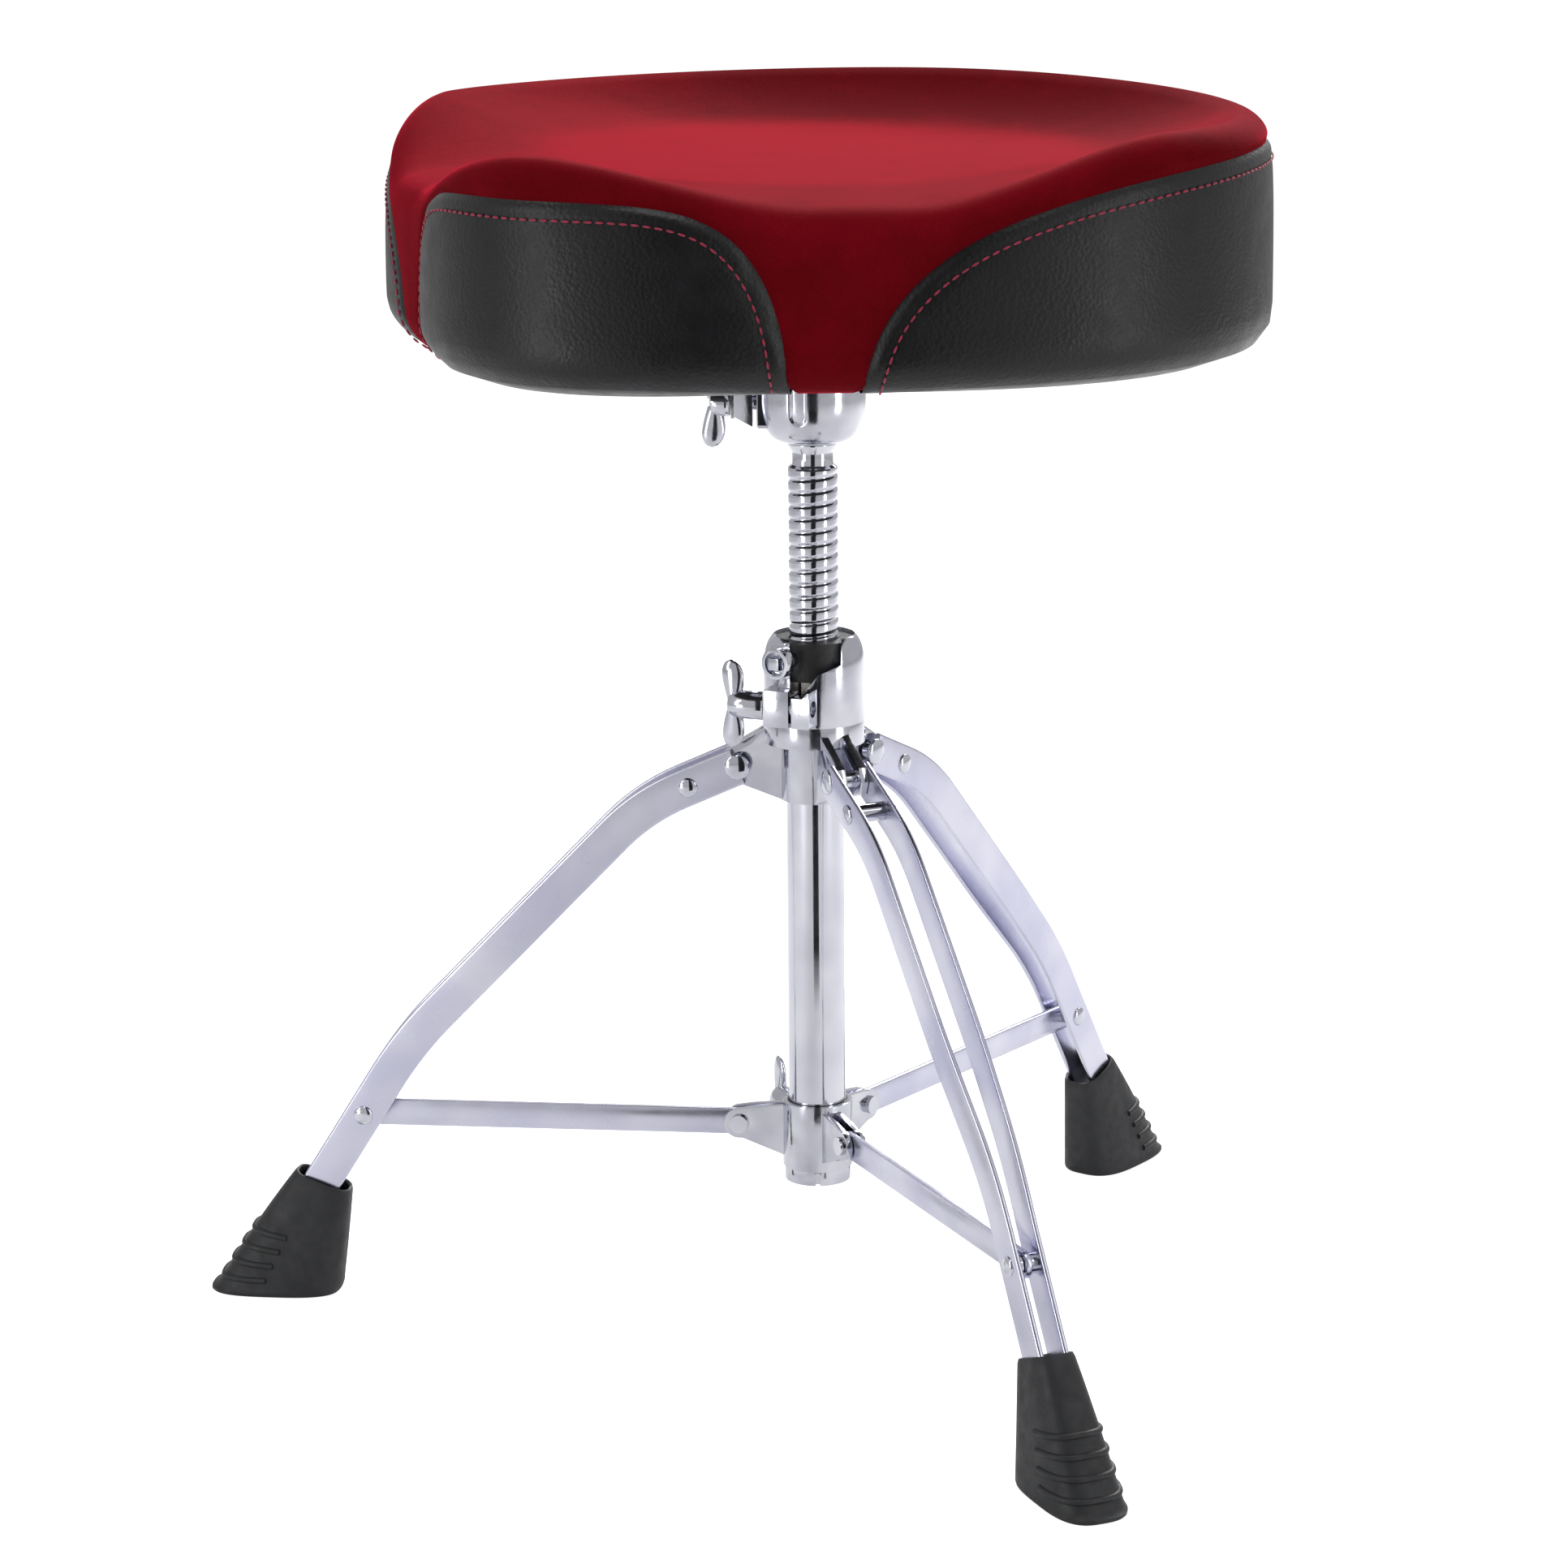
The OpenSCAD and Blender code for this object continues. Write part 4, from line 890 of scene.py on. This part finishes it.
def threaded_rod():
    """The rod's wall with its rolled thread, and its plain ends."""
    grid = bpy.data.meshes.new("rod_thread_grid")
    wall = grown("rod_rolled_thread", grid, ROLLED_THREAD, CHROME, Radius=ROD_R * MM,
                 Depth=THREAD_DEPTH * MM, Pitch=THREAD_PITCH * MM, Length=(THREAD_Z1 - THREAD_Z0) * MM,
                 Groove=1.0 * MM)
    wall.data.transform(Matrix.Translation((0, COLUMN_Y * MM, THREAD_Z0 * MM)))
    below = [(0, ROD_Z0), (8.3, ROD_Z0), (8.9, ROD_Z0 + 0.6), (8.9, ROD_Z0 + 12), (11.6, ROD_Z0 + 12),
             (ROD_R, ROD_Z0 + 12.6), (ROD_R, THREAD_Z0 + 0.02), (ROD_R - 1.2, THREAD_Z0 + 0.5),
             (0, THREAD_Z0 + 0.5)]
    above = [(0, THREAD_Z1 - 0.5), (ROD_R - 1.2, THREAD_Z1 - 0.5), (ROD_R, THREAD_Z1),
             (ROD_R - 0.3, THREAD_Z1 + 0.8),
             (NECK_R + 0.2, THREAD_Z1 + 2), (NECK_R, THREAD_Z1 + 2.6), (NECK_R, HUB_Z - 4.4),
             (ROD_R - 0.4, HUB_Z - 1.6), (ROD_R + 0.2, HUB_Z - 0.5), (ROD_R + 0.2, HUB_Z),
             (NECK_R, HUB_Z + 0.1), (NECK_R, HUB_Z + HUB_H - 8), (0, HUB_Z + HUB_H - 8)]
    ends = joined("rod_plain_ends", [lathe(below), lathe(above)], CHROME, 30)
    ends.data.transform(Matrix.Translation((0, COLUMN_Y * MM, 0)))
    set_on(wall, "seat_post", "chrome_steel", "threaded_rod")
    set_on(ends, "seat_post", "chrome_steel")


threaded_rod()

# ------------------------------------------------------------------ legs

UPPER_BEND_AT = 52
UPPER_BEND_HALF = 21
LOWER_BEND_AT = LEG_LEN - 129
LOWER_BEND_HALF = 23
STAY_AT = LEG_LEN - 83
SPACER_AT = 27
LEG_STEP = LEG_LEN / 88
FOOT_CORE_Z = 26
FOOT_SHIFT = 5.3
LEG_HINGE_R = CASTING_R + 12.6
STRIP_TOP_MID = 7.6 + 0.3 + STRIP_T / 2
STRIP_LOW_MID = STAY_T / 2 + 3.5 + STRIP_T / 2


def lean(s):
    """Slope of the leg at distance s from the hinge, in degrees."""
    upper = (LEANS[1] - LEANS[0]) * ramp((s - UPPER_BEND_AT + UPPER_BEND_HALF) / (2 * UPPER_BEND_HALF))
    lower = (LEANS[2] - LEANS[1]) * ramp((s - LOWER_BEND_AT + LOWER_BEND_HALF) / (2 * LOWER_BEND_HALF))
    return LEANS[0] + upper + lower


LEG_WALK = np.arange(0, LEG_LEN + 1e-6, LEG_STEP)
_slopes = np.radians(lean(LEG_WALK[:-1] + LEG_STEP / 2))
LEG_OUT = np.concatenate([[0], np.cumsum(LEG_STEP * np.cos(_slopes))])
LEG_DOWN = np.concatenate([[0], np.cumsum(LEG_STEP * np.sin(_slopes))])
LEG_HINGE_Z = FOOT_CORE_Z + LEG_DOWN[-1]
SLIDER_R = TUBE_R + 3.2
SLIDER_HINGE_R = SLIDER_R + 21.9


def leg_point(s):
    """Point on the leg's centre line at distance s, as (outward, height)."""
    return (LEG_HINGE_R + np.interp(s, LEG_WALK, LEG_OUT), LEG_HINGE_Z - np.interp(s, LEG_WALK, LEG_DOWN))


STAY_JOINT = leg_point(STAY_AT)
SLIDER_HINGE_Z = STAY_JOINT[1]


def strip_mid(s):
    """Distance of a strip's middle from the leg's middle plane."""
    return mix(STRIP_TOP_MID, STRIP_LOW_MID, ease((s - 150) / (STAY_AT - 10 - 150)))


def strip_ring(s, half, side):
    """One rounded section of a leg strip."""
    out, up = leg_point(s)
    slope = math.radians(lean(s))
    flat = STRIP_T / 2
    edge = 1.25
    ring = []
    for corner, turn in ((1, 0), (2, 90), (3, 180), (4, 270)):
        a = half - edge if corner in (1, 4) else edge - half
        b = flat - edge if corner in (1, 2) else edge - flat
        for k in range(5):
            t = math.radians(turn + 22.5 * k)
            ring.append((a + edge * math.cos(t), b + edge * math.sin(t)))
    middle = strip_mid(s)
    return [(out + w * math.sin(slope), side * (middle + t), up + w * math.cos(slope)) for w, t in ring]


def leg_strip(name, side):
    half = STRIP_W / 2
    rings = [strip_ring(-half * math.sin(math.radians(a)), max(1.5, half * math.cos(math.radians(a))), side)
             for a in (82, 70, 58, 46, 34, 22, 10)]
    rings += [strip_ring(s, half, side) for s in LEG_WALK]
    points, faces = skin(rings)
    return name, points, faces


def rivet_points(pairs):
    """A mesh of loose points in the row frame, each with the direction that its rivet head faces."""
    mesh = bpy.data.meshes.new("rivet_points")
    mesh.from_pydata([tuple(MM * c for c in p) for p, _ in pairs], [], [])
    facing = mesh.attributes.new("facing", "FLOAT_VECTOR", "POINT")
    facing.data.foreach_set("vector", [c for _, d in pairs for c in d])
    return mesh


def both_sides(p, y, matrix):
    """Two rivet heads on the axis across a leg at p = (outward, up), y out from the middle."""
    turn = matrix.to_3x3()
    return [(matrix @ Vector((p[0], s * y, p[1])), turn @ Vector((0, s, 0))) for s in (1, -1)]


STRIP_OUT = STRIP_TOP_MID + STRIP_T / 2
STRIP_IN = STRIP_TOP_MID - STRIP_T / 2


def build_leg(side_name, direction):
    matrix = about_column(direction)
    body = side_name + "_leg"
    for letter, side in (("a", 1), ("b", -1)):
        name, points, faces = leg_strip(f"{side_name}_leg_strip_{letter}_rounded", side)
        obj = piece(name, moved(points, matrix), faces, CHROME_STRIP, 50)
        set_on(obj, body, "chrome_steel", f"{side_name}_leg_strip_{letter}")

    low_out = STRIP_LOW_MID + STRIP_T / 2
    pairs = both_sides((LEG_HINGE_R, LEG_HINGE_Z), STRIP_OUT, matrix)
    big = grown(f"{side_name}_hinge_rivet_heads", rivet_points(pairs), RIVET_HEADS, CHROME,
                Radius=6.6 * MM, Dome=2.0 * MM)
    set_on(big, body, "chrome_steel")
    pairs = both_sides(leg_point(SPACER_AT), STRIP_OUT, matrix) + both_sides(STAY_JOINT, low_out, matrix)
    small = grown(f"{side_name}_strip_rivet_heads", rivet_points(pairs), RIVET_HEADS, CHROME,
                  Radius=5.0 * MM, Dome=2.0 * MM)
    set_on(small, body, "chrome_steel")
    shanks = []
    for p, r, y0, y1 in (((LEG_HINGE_R, LEG_HINGE_Z), 4, -STRIP_OUT, STRIP_OUT),
                         (leg_point(SPACER_AT), 4.6, -STRIP_IN, STRIP_IN),
                         (leg_point(SPACER_AT), 3, -STRIP_OUT, STRIP_OUT)):
        profile = [(0, y0), (r - 0.3, y0), (r, y0 + 0.3), (r, y1 - 0.3), (r - 0.3, y1), (0, y1)]
        points, faces = lathe(profile, 40)
        shanks.append((moved(points, matrix @ across(p)), faces))
    for s in (1, -1):
        y0 = STAY_T / 2 + 0.4
        y1 = STRIP_LOW_MID - STRIP_T / 2
        profile = [(0, y0), (4.6, y0), (5, y0 + 0.4), (5, y1), (3, y1), (3, low_out), (0, low_out)]
        points, faces = lathe(profile, 40)
        shanks.append((moved(points, matrix @ across(STAY_JOINT) @ Matrix.Scale(s, 4, (0, 0, 1))), faces))
    pins = joined(f"{side_name}_rivet_shanks", shanks, CHROME, 30)
    set_on(pins, body, "chrome_steel", f"{side_name}_leg_pin", f"{side_name}_leg_spacer",
           f"{side_name}_stay_rivets")


for side_name, direction in LEGS.items():
    build_leg(side_name, direction)


def stay_outline():
    """Outline of a stay bar with round eyes, as (outward, up)."""
    r = STAY_W / 2
    line = [(SLIDER_HINGE_R + r * math.cos(math.radians(a)), SLIDER_HINGE_Z + r * math.sin(math.radians(a)))
            for a in range(90, 271, 9)]
    line += [(STAY_JOINT[0] + r * math.cos(math.radians(a)), SLIDER_HINGE_Z + r * math.sin(math.radians(a)))
             for a in range(-90, 91, 9)]
    return line


def eased_plate(outline, half, edge=0.6):
    """A plate with rounded edges across its own plane: outline in (outward, up), half its thickness."""
    centre = np.mean(outline, axis=0)
    rings = []
    for inset, y in ((edge, -half), (edge * 0.3, -half + edge * 0.3), (0, -half + edge),
                     (0, half - edge), (edge * 0.3, half - edge * 0.3), (edge, half)):
        ring = []
        n = len(outline)
        for k in range(n):
            a, b, c = (np.array(outline[(k + d) % n]) for d in (-1, 0, 1))
            way = c - a
            normal = np.array([way[1], -way[0]]) / max(np.linalg.norm(way), 1e-9)
            if np.dot(normal, b - centre) < 0:
                normal = -normal
            q = b - normal * inset
            ring.append((q[0], y, q[1]))
        rings.append(ring)
    return skin(rings)


for side_name, direction in LEGS.items():
    points, faces = eased_plate(stay_outline(), STAY_T / 2)
    bar = piece(f"{side_name}_stay_bar", moved(points, about_column(direction)), faces, CHROME_STRIP, 50)
    set_on(bar, f"{side_name}_stay", "chrome_steel", f"{side_name}_stay")

# ------------------------------------------------------------------ feet

FOOT_MID = leg_point(LEG_LEN)[0] + FOOT_SHIFT
MOUTH_MID = leg_point(LEG_LEN)[0] - (FOOT_H - FOOT_CORE_Z) / math.tan(math.radians(LEANS[2]))
MOUTH_HALF_LEN = STRIP_W / 2 + 4.6
MOUTH_HALF_W = STRIP_LOW_MID + STRIP_T / 2 + 3
MOUTH_TILT = 0.45
FOOT_POINTS = 72


def squircle(t, n=3.0):
    """Radius of a rounded square at angle t in degrees, 1 at the middle of each side."""
    c = abs(math.cos(math.radians(t)))
    s = abs(math.sin(math.radians(t)))
    return (c ** n + s ** n) ** (-1 / n)


def foot_point(h, t, inset=0.0):
    """Point of a foot's wall at height share h and angle t round it."""
    a = mix(FOOT_LEN / 2, MOUTH_HALF_LEN, h) - inset
    b = mix(FOOT_W / 2, MOUTH_HALF_W, h) - inset
    k = squircle(t)
    x = a * k * math.cos(math.radians(t))
    y = b * k * math.sin(math.radians(t))
    return (mix(FOOT_MID, MOUTH_MID, h) + x, y, h * FOOT_H + MOUTH_TILT * x * max(0, h - 0.15))


def foot_rings():
    turns = np.linspace(0, 360, FOOT_POINTS, endpoint=False)
    # Rounded edge of the sole: height share, inset and height of each ring
    sole = ((0, 2.5, 0.0), (0, 1.2, 0.35), (0, 0.35, 1.2), (0.01, 0.0, 2.5))
    rings = [[(*foot_point(h, t, inset)[:2], z) for t in turns] for h, inset, z in sole]
    rings += [[foot_point(h, t) for t in turns] for h in np.linspace(0.06, 0.97, 30)]
    rings += [[foot_point(1.0, t, 0.4) for t in turns], [foot_point(1.0, t, 1.3) for t in turns],
              [foot_point(0.985, t, 2.2) for t in turns], [foot_point(0.9, t, 2.6) for t in turns]]
    return rings


RIB_HEIGHTS = (0.15, 0.27, 0.39, 0.51)


def rib_path(h):
    """Path of a rib round the toe of a foot at height share h."""
    return [foot_point(h, t, 0.35) for t in np.linspace(-78, 78, 40)]


for side_name, direction in LEGS.items():
    matrix = about_column(direction)
    points, faces = skin(foot_rings())
    shoe = piece(f"{side_name}_rubber_shoe", moved(points, matrix), faces, RUBBER, 50)
    set_on(shoe, f"{side_name}_leg", "foot_rubber", f"{side_name}_foot")
    lines = [moved(rib_path(h), matrix) for h in RIB_HEIGHTS]
    ribs = grown(f"{side_name}_shoe_ribs", path_curve("ribs", lines), BEAD, RUBBER, Radius=1.7 * MM)
    set_on(ribs, f"{side_name}_leg", "foot_rubber")

# ------------------------------------------------------------------ wing bolts

WING_BOSS_R = 7


def wing_bolt(boss, shank, shank_r=3.9):
    """A cast wing bolt along +X: boss and lobes forward of x = 0, shank behind it."""
    turn = Matrix.Rotation(math.radians(90), 4, "Y")
    points, faces = lathe([(0, 0), (WING_BOSS_R - 0.8, 0), (WING_BOSS_R, 0.8), (WING_BOSS_R, boss - 1),
                           (WING_BOSS_R - 0.6, boss + 3), (WING_BOSS_R - 2, boss + 5.4), (2.6, boss + 6),
                           (0, boss + 6)], 48)
    parts = [(moved(points, turn), faces)]
    points, faces = lathe([(0, -shank), (shank_r - 0.6, -shank), (shank_r, 0.6 - shank), (shank_r, 1),
                           (0, 1)], 32)
    parts.append((moved(points, turn), faces))
    for side in (1, -1):
        rings = []
        for u in np.linspace(0, 1, 22):
            z = 2 + (WING_R - 2) * u
            tip = math.sqrt(max(0.0, 1 - max(0.0, (u - 0.62) / 0.38) ** 2.2))
            half = (3.4 + 2.3 * math.sin(math.pi * min(1, u * 1.25) * 0.62)) * tip
            thick = mix(3.0, 1.9, u) * max(0.15, tip)
            middle = boss + 3.6 + 1.4 * u * u
            ring = [(middle + max(half, 0.3) * math.cos(t), thick * math.sin(t), side * z)
                    for t in np.linspace(0, 2 * math.pi, 24, endpoint=False)]
            rings.append(ring)
        parts.append(skin(rings))
    return parts


def set_wing_bolt(name, node, body, matrix, boss, shank):
    parts = [(moved(points, matrix), faces) for points, faces in wing_bolt(boss, shank)]
    obj = joined(name, parts, CAST_CHROME, 45)
    set_on(obj, body, "chrome_casting", node)


SPLIT_DIR = -75
LOCK_OFFSET = CASTING_R + 3
LOCK_Z = HOUSING_Z0 + 11
COLLAR_WING_DIR = 150
HUB_CLAMP_DIR = 216
HUB_CLAMP_Z = HUB_Z + 20
HUB_R = 26
JAW_OUT = HUB_R + 3 + 9

set_wing_bolt("height_lock_wing_bolt", "height_wing_bolt", "height_wing",
              about_column(SPLIT_DIR) @ Matrix.Translation((LOCK_OFFSET, 0, LOCK_Z))
              @ Matrix.Rotation(math.radians(-90), 4, "Z") @ Matrix.Translation((14.3, 0, 0)),
              CASTING_R + 2.5 - 14, 22)
set_wing_bolt("stay_collar_wing_bolt", "collar_wing_bolt", "collar_wing",
              about_column(COLLAR_WING_DIR) @ Matrix.Translation((SLIDER_R + 9.3, 0, SLIDER_HINGE_Z)),
              16, SLIDER_R + 9 - TUBE_R - 0.1)
set_wing_bolt("hub_clamp_wing_bolt", "hub_wing_bolt", "hub_wing",
              about_column(HUB_CLAMP_DIR) @ Matrix.Translation((JAW_OUT + 1.9, 0, HUB_CLAMP_Z)),
              4, JAW_OUT + 1.5 - NECK_R - 0.1)

# ------------------------------------------------------------------ castings with eased edges


def eased_copy(node, material, width, body, slot, sharp_deg=30):
    """A copy of a CAD casting with its hard edges eased, as a polished casting's are."""
    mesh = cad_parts[node].data.copy()
    mesh.materials.clear()
    mesh.materials.append(material)
    bm = bmesh.new()
    bm.from_mesh(mesh)
    bmesh.ops.remove_doubles(bm, verts=bm.verts, dist=0.002 * MM)
    bmesh.ops.dissolve_limit(bm, angle_limit=math.radians(0.6), verts=bm.verts, edges=bm.edges)
    for face in bm.faces:
        face.material_index = 0
    bm.to_mesh(mesh)
    bm.free()
    obj = link(node + "_eased", mesh)
    bevel = obj.modifiers.new("ease", "BEVEL")
    bevel.width = width * MM
    bevel.segments = 3
    bevel.limit_method = "ANGLE"
    bevel.angle_limit = math.radians(sharp_deg)
    bevel.use_clamp_overlap = True
    graph = bpy.context.evaluated_depsgraph_get()
    done = bpy.data.meshes.new_from_object(obj.evaluated_get(graph))
    obj.modifiers.clear()
    obj.data = done
    shaded(done, 32)
    set_on(obj, body, slot, node)
    return obj


eased_copy("nut_housing", CAST_CHROME, 0.8, "base", "chrome_casting")
eased_copy("leg_collar", CAST_CHROME, 0.7, "base", "chrome_casting")
eased_copy("tube_end_cap", CAST_CHROME, 0.5, "base", "chrome_casting")
eased_copy("key_bolt", CAST_CHROME, 0.4, "base", "chrome_casting")
eased_copy("stay_collar", CAST_CHROME, 0.6, "slider", "chrome_casting")

# Cup under the seat, a smooth casting with a U-shaped relief in its front and a boss for the clamp
FLANGE_T = 6
FLANGE_R = HUB_R + 22
RELIEF_DIR = -70
CUP = [(NECK_R + 0.1, 0.3), (ROD_R + 0.9, 0.3), (ROD_R + 1.6, 0.5), (ROD_R + 2.6, 0.9)]
CUP += [(ROD_R + 4 + (HUB_R - ROD_R - 4) * math.sin(t) ** 1.12, 1.5 + 20.5 * (1 - math.cos(t)))
        for t in np.linspace(0, math.pi / 2, 26)]
CUP += [(HUB_R, z) for z in np.linspace(22.6, HUB_H - 14, 18)]
CUP += [(HUB_R + 0.3, HUB_H - 11), (HUB_R + 1.2, HUB_H - 8), (HUB_R + 2.6, HUB_H - 6),
        (HUB_R + 4.5, HUB_H - FLANGE_T),
        (FLANGE_R - 0.8, HUB_H - FLANGE_T), (FLANGE_R, HUB_H - FLANGE_T + 0.8), (FLANGE_R, HUB_H - 0.4),
        (FLANGE_R - 0.5, HUB_H), (NECK_R + 4, HUB_H), (NECK_R + 4, HUB_H - 12), (NECK_R + 0.1, HUB_H - 12)]


def cup_relief(arc, z):
    """Depth of the relief at a distance round the cup and a height over its mouth."""
    foot = 16.0
    off = abs(arc) if z > foot else math.hypot(arc, z - foot)
    return 1.1 * float(ease((4.6 - off) / 1.2)) * float(ease((31 - z) / 1.5))


def hub_cup():
    rings = []
    for r, z in CUP:
        ring = []
        for t in np.linspace(0, 360, 240, endpoint=False):
            arc = math.radians((t - RELIEF_DIR + 180) % 360 - 180) * r
            dip = cup_relief(arc, z) if abs(r - HUB_R) < 4.4 and z < HUB_H - 13 else 0
            a = math.radians(t)
            ring.append(((r - dip) * math.cos(a), (r - dip) * math.sin(a), HUB_Z + z))
        rings.append(ring)
    rings.append(rings[0])
    cup = skin(rings, closed_ends=False)
    outline = rounded([(-9, 8), (9, 8), (9, 34), (-9, 34)], 2.5)
    boss = skin([[(x, y, HUB_Z + z) for y, z in outline] for x in (NECK_R + 2, HUB_R + 0.4)]
                + [[(HUB_R + 1, y * 0.93, HUB_Z + 21 + (z - 21) * 0.95) for y, z in outline]])
    turned = about_column(HUB_CLAMP_DIR)
    parts = [(moved(cup[0], about_column()), cup[1]), (moved(boss[0], turned), boss[1])]
    set_on(joined("seat_hub_cup", parts, CAST_CHROME, 40), "seat_post", "chrome_casting", "seat_hub")


hub_cup()
eased_copy("clamp_jaw", CAST_CHROME, 0.7, "seat_post", "chrome_casting")

# ------------------------------------------------------------------ finishes of the CAD nodes that stay

KEPT = {
    "base_tube": CHROME, "collar_grub_screws": ZINC, "thread_nut": PLATED_BRASS, "guide_bush": NYLON,
    "collar_liner": NYLON, "stay_pivot_pins": CHROME, "rod_guide": NYLON, "rod_end_washer": ZINC,
    "rod_end_screw": ZINC, "hub_wing_washer": ZINC, "hub_screws": ZINC, "tee_nuts": ZINC,
    "seat_board": PLYWOOD, "dust_cover": DUST_CLOTH,
}
for node, material in KEPT.items():
    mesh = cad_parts[node].data
    mesh.materials.clear()
    mesh.materials.append(material)

# ------------------------------------------------------------------ stage, lamps and camera


def camera_white(name, base, shown, mirrored):
    """A pale surface that shows as white to the camera, greyer in reflections, and still takes a shadow."""
    material = bpy.data.materials.new(name)
    material.use_nodes = True
    tree = material.node_tree
    shader = tree.nodes["Principled BSDF"]
    shader.inputs["Base Color"].default_value = linear(base)
    shader.inputs["Roughness"].default_value = 0.9
    shader.inputs["Specular IOR Level"].default_value = 0.0
    shader.inputs["Emission Color"].default_value = (1, 1, 1, 1)
    path = add(tree, "ShaderNodeLightPath")
    seen = math_node(tree, "MAXIMUM", path.outputs["Is Camera Ray"], path.outputs["Is Transmission Ray"])
    seen = math_node(tree, "MULTIPLY", seen, shown)
    level = math_node(tree, "MULTIPLY_ADD", path.outputs["Is Glossy Ray"], mirrored, seen)
    tree.links.new(level, shader.inputs["Emission Strength"])
    return material


def flat_sheet(name, corners, material):
    mesh = bpy.data.meshes.new(name)
    mesh.from_pydata(corners, [], [tuple(range(len(corners)))])
    mesh.materials.append(material)
    return link(name, mesh)


FLOOR_R = 9.0
floor = flat_sheet("studio_floor", [(FLOOR_R * math.cos(t), FLOOR_R * math.sin(t), -0.0002)
                                    for t in np.linspace(0, 2 * math.pi, 48, endpoint=False)],
                   camera_white("matt_white_floor", "#E6E6E6", 0.9, 0.3))

world = bpy.data.worlds.new("studio")
world.use_nodes = True
bpy.context.scene.world = world
background = world.node_tree.nodes["Background"]
background.inputs["Color"].default_value = (1, 1, 1, 1)
rays = add(world.node_tree, "ShaderNodeLightPath")
shown = math_node(world.node_tree, "MAXIMUM", rays.outputs["Is Camera Ray"],
                  rays.outputs["Is Transmission Ray"])
AMBIENT = 0.2
GLOSS = 0.58
level = math_node(world.node_tree, "MULTIPLY_ADD", shown, 1 - AMBIENT, AMBIENT)
level = math_node(world.node_tree, "MULTIPLY_ADD", rays.outputs["Is Glossy Ray"], GLOSS - AMBIENT, level)
world.node_tree.links.new(level, background.inputs["Strength"])


def softbox(name, azimuth, elevation, distance, size, power, tall=None):
    """An area lamp that looks at the object. Azimuth 0 is on the nose's side and 90 on the +X side."""
    data = bpy.data.lights.new(name, "AREA")
    data.shape = "RECTANGLE"
    data.size = size
    data.size_y = tall or size
    data.energy = power
    lamp = link(name, data)
    a = math.radians(azimuth)
    e = math.radians(elevation)
    back = Vector((math.sin(a) * math.cos(e), -math.cos(a) * math.cos(e), math.sin(e)))
    lamp.location = Vector((0, 0, 0.35)) + back * distance
    lamp.visible_camera = False
    lamp.rotation_mode = "QUATERNION"
    lamp.rotation_quaternion = back.to_track_quat("Z", "Y")
    return lamp


softbox("back_softbox", 196, 36, 2.4, 1.2, 55)
softbox("top_softbox", 60, 82, 2.4, 1.2, 12)
softbox("left_softbox", -22, 20, 2.4, 0.45, 9, 1.6)
softbox("right_softbox", 92, 18, 2.6, 0.4, 7, 1.6)
softbox("low_left_softbox", -12, -5, 1.35, 0.3, 1.6, 0.42)
softbox("low_right_softbox", 92, -5, 1.35, 0.3, 1.3, 0.42)


def dark_card():
    """A dark card on the camera's side. Chrome reflects it as an upright dark line, nothing else sees it."""
    material = bpy.data.materials.new("dark_card")
    material.use_nodes = True
    shader = material.node_tree.nodes["Principled BSDF"]
    shader.inputs["Base Color"].default_value = linear("#1E1E22")
    shader.inputs["Roughness"].default_value = 1.0
    a = math.radians(CAMERA_AZIMUTH)
    out = Vector((math.sin(a), -math.cos(a), 0))
    side = Vector((math.cos(a), math.sin(a), 0))
    middle = out * 0.6 + Vector((0, COLUMN_Y * MM, 0))
    corners = [tuple(middle + side * s * 0.12 + Vector((0, 0, z)))
               for s, z in ((-1, 0.0), (1, 0.0), (1, 1.2), (-1, 1.2))]
    card = flat_sheet("dark_card", corners, material)
    card.visible_camera = False
    card.visible_diffuse = False
    card.visible_shadow = False
    card.visible_transmission = False


CAMERA_AZIMUTH = 36.45
CAMERA_PITCH = 13.74
CAMERA_ROLL = -0.513
dark_card()


def studio_camera():
    data = bpy.data.cameras.new("studio_camera")
    data.lens = 103.46
    data.sensor_width = 36
    data.clip_start = 0.05
    data.clip_end = 60
    camera = link("studio_camera", data)
    a = math.radians(CAMERA_AZIMUTH)
    p = math.radians(CAMERA_PITCH)
    r = math.radians(CAMERA_ROLL)
    back = Vector((math.sin(a) * math.cos(p), -math.cos(a) * math.cos(p), math.sin(p)))
    right = Vector((math.cos(a), math.sin(a), 0))
    up = back.cross(right)
    x = math.cos(r) * right + math.sin(r) * up
    y = -math.sin(r) * right + math.cos(r) * up
    turn = Matrix((x, y, back)).transposed()
    camera.matrix_world = Matrix.Translation((1.2765, -1.7991, 0.8029)) @ turn.to_4x4()
    bpy.context.scene.camera = camera


studio_camera()
bpy.context.scene.view_settings.view_transform = "Standard"
